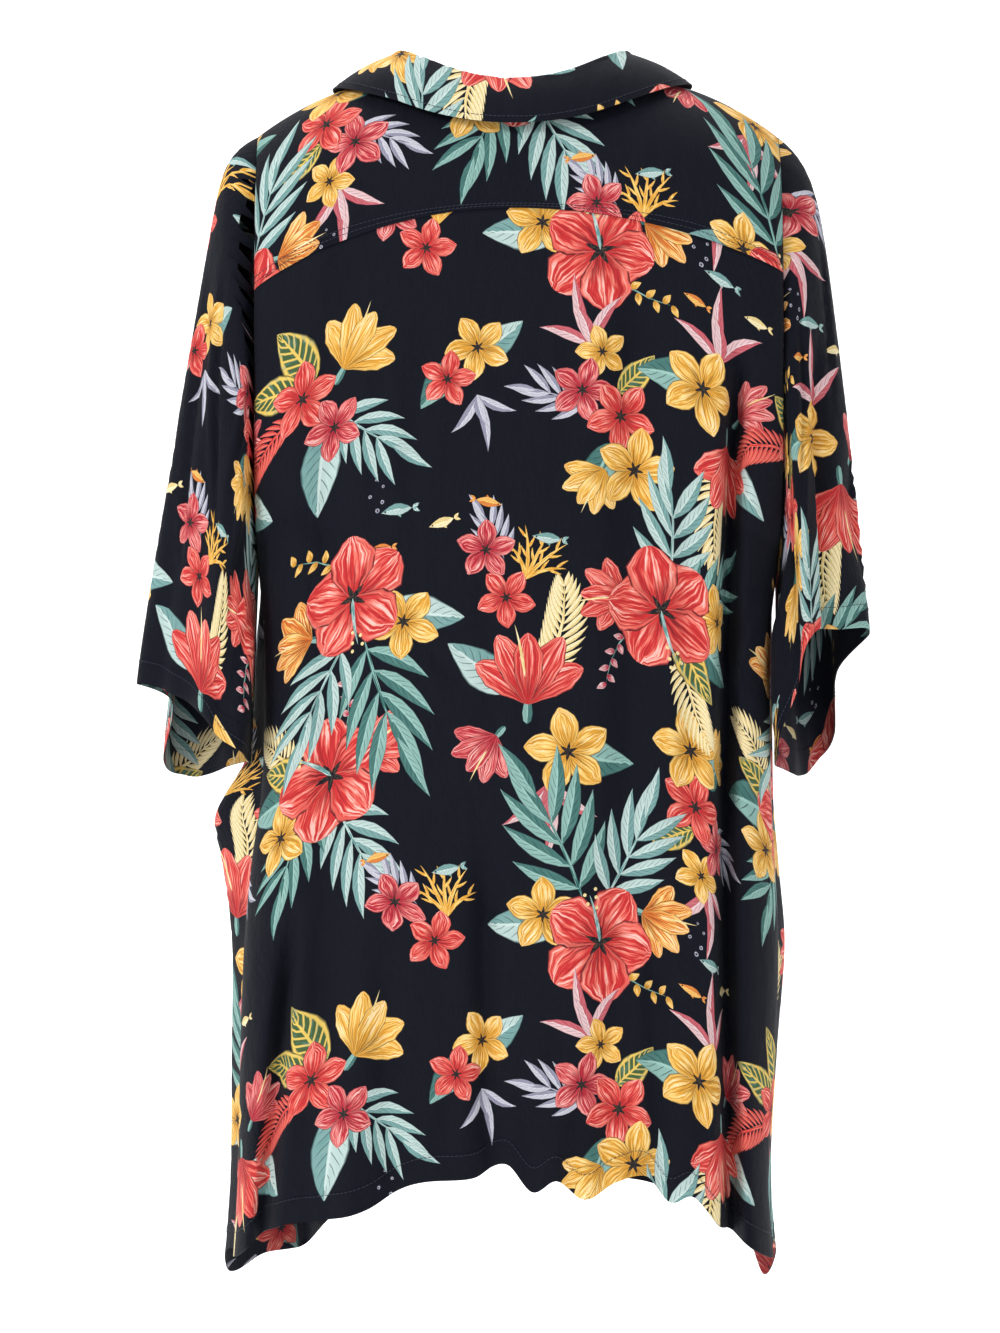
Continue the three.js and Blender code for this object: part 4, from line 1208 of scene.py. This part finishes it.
class Shader:
    """Builds one procedural material from short expressions."""

    def __init__(self, name):
        self.material = bpy.data.materials.new(name)
        self.material.use_nodes = True
        self.tree = self.material.node_tree
        self.surface = self.tree.nodes["Principled BSDF"]

    def wire(self, value, socket):
        if isinstance(value, bpy.types.NodeSocket):
            self.tree.links.new(value, socket)
        else:
            socket.default_value = value

    def node(self, kind, inputs=(), **settings):
        made = self.tree.nodes.new(kind)
        for key, value in settings.items():
            setattr(made, key, value)
        for key, value in dict(inputs).items():
            self.wire(value, made.inputs[key])
        return made

    def math(self, operation, *values):
        made = self.node("ShaderNodeMath", operation=operation)
        for value, socket in zip(values, made.inputs):
            self.wire(value, socket)
        return made.outputs[0]

    def times(self, a, b):
        return self.math("MULTIPLY", a, b)

    def plus(self, a, b):
        return self.math("ADD", a, b)

    def attribute(self, name):
        return self.node("ShaderNodeAttribute", attribute_name=name)

    def split(self, vector):
        return self.node("ShaderNodeSeparateXYZ", {0: vector}).outputs

    def join(self, x, y, z):
        return self.node("ShaderNodeCombineXYZ", {0: x, 1: y, 2: z}).outputs[0]

    def noise(self, vector, scale, detail=2.0, roughness=0.5):
        inputs = {"Vector": vector, "Scale": scale, "Detail": detail, "Roughness": roughness}
        return self.node("ShaderNodeTexNoise", inputs).outputs["Fac"]

    def step(self, value, start, end):
        """0 before start, 1 after end, smooth between. It may fall as well as rise."""
        made = self.node("ShaderNodeMapRange", interpolation_type="SMOOTHSTEP")
        for socket, number in zip(made.inputs, (value, start, end, 0.0, 1.0)):
            self.wire(number, socket)
        return made.outputs[0]

    def mix(self, share, a, b):
        made = self.node("ShaderNodeMix", data_type="RGBA")
        for value, socket in ((share, 0), (a, 6), (b, 7)):
            value = (*value, 1.0) if isinstance(value, tuple) and len(value) == 3 else value
            self.wire(value, made.inputs[socket])
        return made.outputs[2]


# How deep the hems of the body and the sleeves are turned up
HEM_DEPTH = 20.0
# Distance between two threads that pass over, along the cloth and across it
WARP_PITCH = 0.42
WEFT_PITCH = 0.46
# How much of its print the inner side loses
INNER_DIM = 0.45


def cloth_finish(shader, printed):
    """Matt rayon: a fine plain weave, small crinkles, a soft sheen and a dimmer inner side."""
    across, up, side = shader.split(shader.attribute("thread").outputs["Vector"])
    place = shader.join(across, up, 0.0)
    hem = shader.attribute("hem").outputs["Fac"]
    dimmed = shader.mix(shader.times(side, INNER_DIM), printed, NAVY)
    shader.wire(dimmed, shader.surface.inputs["Base Color"])
    warp = shader.math("SINE", shader.times(across, 2 * math.pi / WARP_PITCH))
    weft = shader.math("SINE", shader.times(up, 2 * math.pi / WEFT_PITCH))
    weave = shader.times(warp, weft)
    crinkle = shader.noise(shader.join(across, shader.times(up, 0.45), 3.0), 0.085, 4.0, 0.55)
    fine = shader.noise(place, 0.5, 3.0, 0.6)
    height = shader.plus(shader.times(weave, 0.05), shader.times(crinkle, 2.4))
    height = shader.plus(height, shader.times(fine, 0.16))
    turned_up = shader.times(shader.step(hem, HEM_DEPTH + 0.6, HEM_DEPTH - 0.6), 0.6)
    height = shader.plus(height, turned_up)
    bump = shader.node("ShaderNodeBump", {"Strength": 1.0, "Distance": 0.001, "Height": height})
    shader.wire(bump.outputs[0], shader.surface.inputs["Normal"])
    rough = shader.plus(0.62, shader.times(fine, 0.2))
    shader.wire(rough, shader.surface.inputs["Roughness"])
    shader.surface.inputs["Specular IOR Level"].default_value = 0.14
    shader.surface.inputs["Sheen Weight"].default_value = 0.025
    shader.surface.inputs["Sheen Roughness"].default_value = 0.4
    return shader.material


def ground_material():
    """The plain navy between the motifs."""
    shader = Shader("cloth_ground")
    return cloth_finish(shader, shader.attribute("ink").outputs["Color"])


def petal_material():
    """Brushed streaks from the heart outwards, dark veins near the heart and a dark edge."""
    shader = Shader("cloth_petal")
    ink, tint = shader.attribute("ink").outputs["Color"], shader.attribute("tint").outputs["Color"]
    along, aside, seed = shader.split(shader.attribute("grain").outputs["Vector"])
    wide = shader.math("ABSOLUTE", aside)
    lines = shader.join(shader.times(aside, 4.6), shader.times(along, 0.9), seed)
    streak = shader.noise(lines, 1.7, 2.0, 0.6)
    out = shader.times(shader.step(streak, 0.46, 0.56), shader.step(along, 0.12, 0.5))
    brushed = shader.mix(out, ink, tint)
    glint = shader.times(shader.step(streak, 0.57, 0.63), shader.step(along, 0.3, 0.62))
    brushed = shader.mix(shader.times(glint, 0.8), brushed, shader.mix(0.6, tint, PALE))
    shaded = shader.times(shader.step(streak, 0.42, 0.34), 0.45)
    brushed = shader.mix(shaded, brushed, shader.mix(0.55, ink, INKS["night"][0]))
    veins = shader.join(shader.times(aside, 9.0), shader.times(along, 0.5), seed)
    vein = shader.noise(veins, 1.6)
    heart = shader.times(shader.step(vein, 0.52, 0.58), shader.step(along, 0.62, 0.14))
    dark = shader.mix(0.8, ink, INKS["night"][0])
    veined = shader.mix(heart, brushed, dark)
    pale_edge = shader.times(shader.step(wide, 0.74, 0.84), 0.5)
    edged = shader.mix(pale_edge, veined, tint)
    rim = shader.step(wide, 0.9, 0.98)
    return cloth_finish(shader, shader.mix(rim, edged, dark))


def leaf_colours(shader, variegated):
    """Slanting veins, a rib and a dark rim, and on variegated leaves pale blotches between veins."""
    ink, tint = shader.attribute("ink").outputs["Color"], shader.attribute("tint").outputs["Color"]
    along, aside, seed = shader.split(shader.attribute("grain").outputs["Vector"])
    wide = shader.math("ABSOLUTE", aside)
    slant = shader.math("SUBTRACT", shader.times(along, 8.0), shader.times(wide, 1.9))
    wave = shader.math("ABSOLUTE", shader.math("SUBTRACT", shader.math("FRACT", slant), 0.5))
    streak = shader.noise(shader.join(aside, slant, seed), 1.5)
    if variegated:
        blotch = shader.times(shader.step(wave, 0.1, 0.2), shader.step(wide, 0.8, 0.68))
        painted = shader.mix(blotch, tint, ink)
        lit = shader.times(shader.step(streak, 0.52, 0.62), 0.35)
        painted = shader.mix(lit, painted, INKS["aqua"][0])
        rib = shader.step(wide, 0.1, 0.05)
        painted = shader.mix(rib, painted, tint)
    else:
        half = shader.plus(shader.step(aside, -0.02, 0.04), shader.times(streak, 0.5))
        painted = shader.mix(shader.times(half, 0.62), ink, tint)
        line = shader.times(shader.step(wave, 0.1, 0.03), shader.step(wide, 0.95, 0.5))
        dark = shader.mix(0.72, ink, INKS["night"][0])
        painted = shader.mix(shader.times(line, 0.8), painted, dark)
        rib = shader.step(wide, 0.12, 0.05)
        painted = shader.mix(rib, painted, tint)
    rim = shader.times(shader.step(wide, 0.88, 0.98), 0.85)
    return shader.mix(rim, painted, shader.mix(0.8, ink, INKS["night"][0]))


def leaf_material(variegated):
    shader = Shader("cloth_variegated_leaf" if variegated else "cloth_leaf")
    return cloth_finish(shader, leaf_colours(shader, variegated))


def plain_material():
    """Thin strokes, dots and small fish."""
    shader = Shader("cloth_stroke")
    ink, tint = shader.attribute("ink").outputs["Color"], shader.attribute("tint").outputs["Color"]
    along, aside, seed = shader.split(shader.attribute("grain").outputs["Vector"])
    streak = shader.noise(shader.join(aside, shader.times(along, 2.0), seed), 2.2)
    return cloth_finish(shader, shader.mix(shader.step(streak, 0.45, 0.62), ink, tint))


CLOTH_MATERIALS = [
    ground_material(), petal_material(), leaf_material(False), leaf_material(True), plain_material(),
]

# Each piece: its panel, where the print's repeat starts on it, and its steps across and up
PIECES = {
    "back_panel": (back_panel(), (-214, -486), (5.5, 8.0)),
    "back_yoke": (yoke_panel(), (-60, 40), (6.0, 7.0)),
    "front_left": (front_panel("left"), (70, -90), (6.5, 9.0)),
    "front_right": (front_panel("right"), (-120, -200), (6.5, 9.0)),
    "sleeve_left": (sleeve_panel("left"), (-150, 60), (6.0, 7.0)),
    "sleeve_right": (sleeve_panel("right"), (20, -60), (6.0, 7.0)),
    "collar": (collar_panel(), (30, -160), (5.0, 3.0)),
    "lapel_left": (lapel_panel("left"), (0, 0), (5.0, 6.0)),
    "lapel_right": (lapel_panel("right"), (90, 60), (5.0, 6.0)),
}

for name, (panel, offset, steps) in PIECES.items():
    piece = cloth_mesh(f"{name}_cloth", panel, offset, steps)
    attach(piece, "root")
    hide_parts(name)
    wide, long = np.array(panel.cut_size(slanted="lapel" in name)) * MM
    held = "folded" if "lapel" in name or name == "collar" else "hung"
    panel.area() * MM * MM


def thread_material():
    """Navy sewing thread with the twist of its plies."""
    shader = Shader("thread")
    place = shader.node("ShaderNodeTexCoord").outputs["Object"]
    twist = shader.node("ShaderNodeTexWave", {"Vector": place, "Scale": 900.0, "Distortion": 1.5})
    fuzz = shader.noise(place, 2400.0)
    tone = shader.mix(fuzz, colour(16, 20, 36), colour(38, 45, 66))
    shader.wire(tone, shader.surface.inputs["Base Color"])
    inputs = {"Strength": 0.5, "Distance": 0.0002, "Height": twist.outputs["Fac"]}
    bump = shader.node("ShaderNodeBump", inputs)
    shader.wire(bump.outputs[0], shader.surface.inputs["Normal"])
    shader.surface.inputs["Roughness"].default_value = 0.6
    return shader.material


# A stitch, and the half widths along it
STITCH_PITCH = 3.4
STITCH_LENGTH = 2.7
STITCH_RADIUS = 0.28
STITCH_SIDES = 5
STITCH_PROFILE = ((-0.5, 0.3), (-0.32, 1.0), (0.32, 1.0), (0.5, 0.3))


def add_stitches(name, lines, material):
    """Rows of topstitching, each stitch a small capsule that lies on the cloth."""
    around = 2 * math.pi * np.arange(STITCH_SIDES) / STITCH_SIDES
    points, faces = [], []
    for path, normals in lines:
        length = arc(path)
        for start in np.arange(0, length[-1] - STITCH_LENGTH, STITCH_PITCH):
            middle = start + STITCH_LENGTH / 2
            a, b, heart, up = (
                on_line(source, length, where)
                for where, source in (
                    (start, path), (start + STITCH_LENGTH, path), (middle, path), (middle, normals),
                )
            )
            way, up = unit(b - a), unit(up)
            aside = np.cross(way, up)
            first = len(points)
            for share, wide in STITCH_PROFILE:
                ring = heart + way * share * STITCH_LENGTH + 0.1 * up
                for angle in around:
                    off = math.cos(angle) * aside + math.sin(angle) * up
                    points.append(ring + STITCH_RADIUS * wide * off)
            last = len(STITCH_PROFILE) - 1
            for ring in range(last):
                for i in range(STITCH_SIDES):
                    j = (i + 1) % STITCH_SIDES
                    k = first + ring * STITCH_SIDES
                    faces.append((k + i, k + j, k + STITCH_SIDES + j, k + STITCH_SIDES + i))
            faces.append(tuple(first + i for i in reversed(range(STITCH_SIDES))))
            faces.append(tuple(first + last * STITCH_SIDES + i for i in range(STITCH_SIDES)))
    mesh = bpy.data.meshes.new(name)
    mesh.from_pydata((np.array(points) * MM).tolist(), [], faces)
    mesh.polygons.foreach_set("use_smooth", [True] * len(faces))
    mesh.materials.append(material)
    piece = bpy.data.objects.new(name, mesh)
    bpy.context.scene.collection.objects.link(piece)
    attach(piece, "root")
    return piece


# How far in from their edges the rows of stitches lie. The yoke's second row and the front edge's
# row are counted in grid lines.
HEM_STITCH = 1.5
EDGE_STITCH = 5
YOKE_STITCH = 1.6
YOKE_ROWS_APART = 2
FRONT_EDGE_LINE = 4
FRONT_EDGE_ENDS = (0.02, 0.99)

thread = thread_material()
panels = {name: row[0] for name, row in PIECES.items()}
for name in ("back_panel", "front_left", "front_right", "sleeve_left", "sleeve_right"):
    hem_row = panels[name].row_at(-HEM_DEPTH + HEM_STITCH)
    add_stitches(f"{name}_hem_stitches", [panels[name].line(row=hem_row)], thread)
yoke, collar, front = panels["back_yoke"], panels["collar"], panels["front_left"]
yoke_row = yoke.row_at(-YOKE_STITCH)
yoke_lines = [yoke.line(row=yoke_row), yoke.line(row=yoke_row - YOKE_ROWS_APART)]
add_stitches("yoke_stitches", yoke_lines, thread)
add_stitches("collar_stitches", [collar.line(row=collar.row_at(-EDGE_STITCH))], thread)
front_line = front.line(column=FRONT_EDGE_LINE, ends=FRONT_EDGE_ENDS)
add_stitches("front_edge_stitches", [front_line], thread)

BUTTON_RADIUS = 5.7
BUTTON_THICK = 2.5
BUTTON_COUNT = 6
FIRST_BUTTON_DOWN = 214
BUTTON_SPACING = 94
BUTTON_CLEAR = 0.6
BUTTON_HOLE = 0.8
HOLE_OFF = 1.5
HOLE_SIDES = 16
THREAD_HEIGHT = 0.74
BUTTON_SIDES = 48
# Half width and height of the turned form, from its back round to its dished face, as shares
BUTTON_PROFILE = (
    (0.0, 0.0), (0.88, 0.0), (0.95, 0.1), (1.0, 0.35), (1.0, 0.62), (0.96, 0.84), (0.88, 0.97), (0.8, 1.0),
    (0.7, 0.94), (0.62, 0.8), (0.55, 0.72), (0.0, 0.7),
)


def shell_material():
    """Polished dark shell with slow bands of brown and grey."""
    shader = Shader("button_shell")
    place = shader.node("ShaderNodeTexCoord").outputs["Object"]
    drift = shader.noise(place, 180.0, 4.0)
    stretched = shader.node("ShaderNodeMapping", {"Vector": place, "Scale": (60.0, 60.0, 420.0)}).outputs[0]
    band = shader.noise(stretched, 1.0, 3.0)
    tone = shader.mix(band, colour(40, 26, 20), colour(112, 84, 62))
    tone = shader.mix(shader.step(drift, 0.5, 0.7), tone, colour(70, 66, 66))
    shader.wire(tone, shader.surface.inputs["Base Color"])
    rough = shader.plus(0.16, shader.times(drift, 0.16))
    shader.wire(rough, shader.surface.inputs["Roughness"])
    shader.surface.inputs["Coat Weight"].default_value = 0.4
    return shader.material


def add_button(index, shell, thread):
    """A lathe-turned button with a dished face, four holes and crossed thread."""
    centre = body_point(0.0, -FIRST_BUTTON_DOWN - index * BUTTON_SPACING).reshape(3)
    centre = centre + [0, LAP_LIFT + BUTTON_CLEAR, 0]
    mesh = bpy.data.meshes.new(f"button_{index + 1}_turned")
    form = bmesh.new()
    rings = []
    for wide, high in BUTTON_PROFILE:
        if wide == 0:
            rings.append([form.verts.new((0, 0, high * BUTTON_THICK * MM))])
            continue
        radius = wide * BUTTON_RADIUS * MM
        rings.append([
            form.verts.new((radius * math.cos(a), radius * math.sin(a), high * BUTTON_THICK * MM))
            for a in 2 * math.pi * np.arange(BUTTON_SIDES) / BUTTON_SIDES
        ])
    for lower, upper in zip(rings, rings[1:]):
        for i in range(BUTTON_SIDES):
            j = (i + 1) % BUTTON_SIDES
            below = [lower[k % len(lower)] for k in (i, j)]
            above = [upper[k % len(upper)] for k in (j, i)]
            form.faces.new(list(dict.fromkeys(below + above)))
    bmesh.ops.recalc_face_normals(form, faces=form.faces)
    form.to_mesh(mesh)
    form.free()
    piece = bpy.data.objects.new(f"button_{index + 1}_turned", mesh)
    bpy.context.scene.collection.objects.link(piece)
    cutters = []
    for turn in (45, 135, 225, 315):
        x, y = HOLE_OFF * math.cos(math.radians(turn)), HOLE_OFF * math.sin(math.radians(turn))
        bpy.ops.mesh.primitive_cylinder_add(
            vertices=HOLE_SIDES, radius=BUTTON_HOLE * MM, depth=4 * BUTTON_THICK * MM,
            location=(x * MM, y * MM, 0),
        )
        cutters.append(bpy.context.object)
        cut = piece.modifiers.new("hole", "BOOLEAN")
        cut.operation, cut.solver, cut.object = "DIFFERENCE", "EXACT", cutters[-1]
    solid = bpy.data.meshes.new_from_object(piece.evaluated_get(bpy.context.evaluated_depsgraph_get()))
    for cutter in cutters:
        bpy.data.objects.remove(cutter)
    piece.modifiers.clear()
    facing = Matrix.Rotation(-math.pi / 2, 4, "X")
    solid.transform(Matrix.Translation(Vector(centre) * MM) @ facing)
    piece.data = solid
    solid.materials.clear()
    solid.materials.append(shell)
    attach(piece, "root")
    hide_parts(f"button_{index + 1}")
    height = centre[1] + THREAD_HEIGHT * BUTTON_THICK
    crossed = []
    for way in (-1, 1):
        off = HOLE_OFF * math.cos(math.pi / 4)
        x = np.linspace(-off, off, 5)
        path = np.stack([centre[0] + x, height + 0 * x, centre[2] + way * x], axis=-1)
        crossed.append((path, np.tile([0.0, 1.0, 0.0], (5, 1))))
    return crossed


shell = shell_material()
crossed = [line for i in range(BUTTON_COUNT) for line in add_button(i, shell, thread)]
add_stitches("button_threads", crossed, thread)

# Camera at the photograph's distance, level with the middle of the shirt
CAMERA = Vector((-9.75, -1975, -424.5)) * MM
LENS = 68.4


def make_camera():
    data = bpy.data.cameras.new("camera")
    data.lens = LENS
    camera = bpy.data.objects.new("camera", data)
    camera.location = CAMERA
    camera.rotation_euler = (math.pi / 2, 0, 0)
    bpy.context.scene.collection.objects.link(camera)
    bpy.context.scene.camera = camera


# Lights: where each stands, what it shines at, its width in metres and its power in watts
LIGHTS = {
    "key": ((-2.2, -1.9, 1.1), (0, 0, -0.4), 0.9, 58),
    "fill": ((1.9, -2.4, 0.1), (0, 0, -0.45), 2.2, 12),
    "above": ((0, 0.8, 2.4), (0, 1.0, -0.6), 2.6, 70),
}
WORLD_STRENGTH = 0.5


def make_light(name, place, target, size, power):
    data = bpy.data.lights.new(name, "AREA")
    data.shape = "DISK"
    data.size = size
    data.energy = power
    light = bpy.data.objects.new(name, data)
    light.location = place
    light.rotation_euler = (Vector(target) - Vector(place)).to_track_quat("-Z", "Y").to_euler()
    bpy.context.scene.collection.objects.link(light)


# The sweep in metres: the floor's height, its near and far ends, its bend, its top and half width
FLOOR = -1.15
SWEEP_NEAR = -6.0
SWEEP_BACK = 4.5
SWEEP_BEND = 1.5
SWEEP_TOP = 5.0
SWEEP_HALF = 7.0


def make_stage():
    """A pale floor that sweeps up into a backdrop."""
    profile = [(SWEEP_NEAR, FLOOR)]
    for a in np.radians(np.linspace(-90, 0, 13)):
        out, up = SWEEP_BEND * (math.cos(a) - 1), SWEEP_BEND * (math.sin(a) + 1)
        profile.append((SWEEP_BACK + out, FLOOR + up))
    profile.append((SWEEP_BACK, SWEEP_TOP))
    points = [(x, y, z) for y, z in profile for x in (-SWEEP_HALF, SWEEP_HALF)]
    faces = [(2 * i, 2 * i + 1, 2 * i + 3, 2 * i + 2) for i in range(len(profile) - 1)]
    mesh = bpy.data.meshes.new("sweep")
    mesh.from_pydata(points, [], faces)
    mesh.polygons.foreach_set("use_smooth", [True] * len(faces))
    shader = Shader("pale_sweep")
    shader.surface.inputs["Base Color"].default_value = (0.93, 0.93, 0.93, 1)
    shader.surface.inputs["Roughness"].default_value = 0.9
    shader.surface.inputs["Emission Color"].default_value = (1, 1, 1, 1)
    shader.surface.inputs["Emission Strength"].default_value = 0.5
    mesh.materials.append(shader.material)
    sweep = bpy.data.objects.new("sweep", mesh)
    bpy.context.scene.collection.objects.link(sweep)


def make_world():
    world = bpy.data.worlds.new("studio")
    world.use_nodes = True
    background = world.node_tree.nodes["Background"].inputs
    background["Color"].default_value = (1, 1, 1, 1)
    background["Strength"].default_value = WORLD_STRENGTH
    bpy.context.scene.world = world
    bpy.context.scene.view_settings.view_transform = "Standard"


make_camera()
make_stage()
for name, (place, target, size, power) in LIGHTS.items():
    make_light(name, place, target, size, power)
make_world()
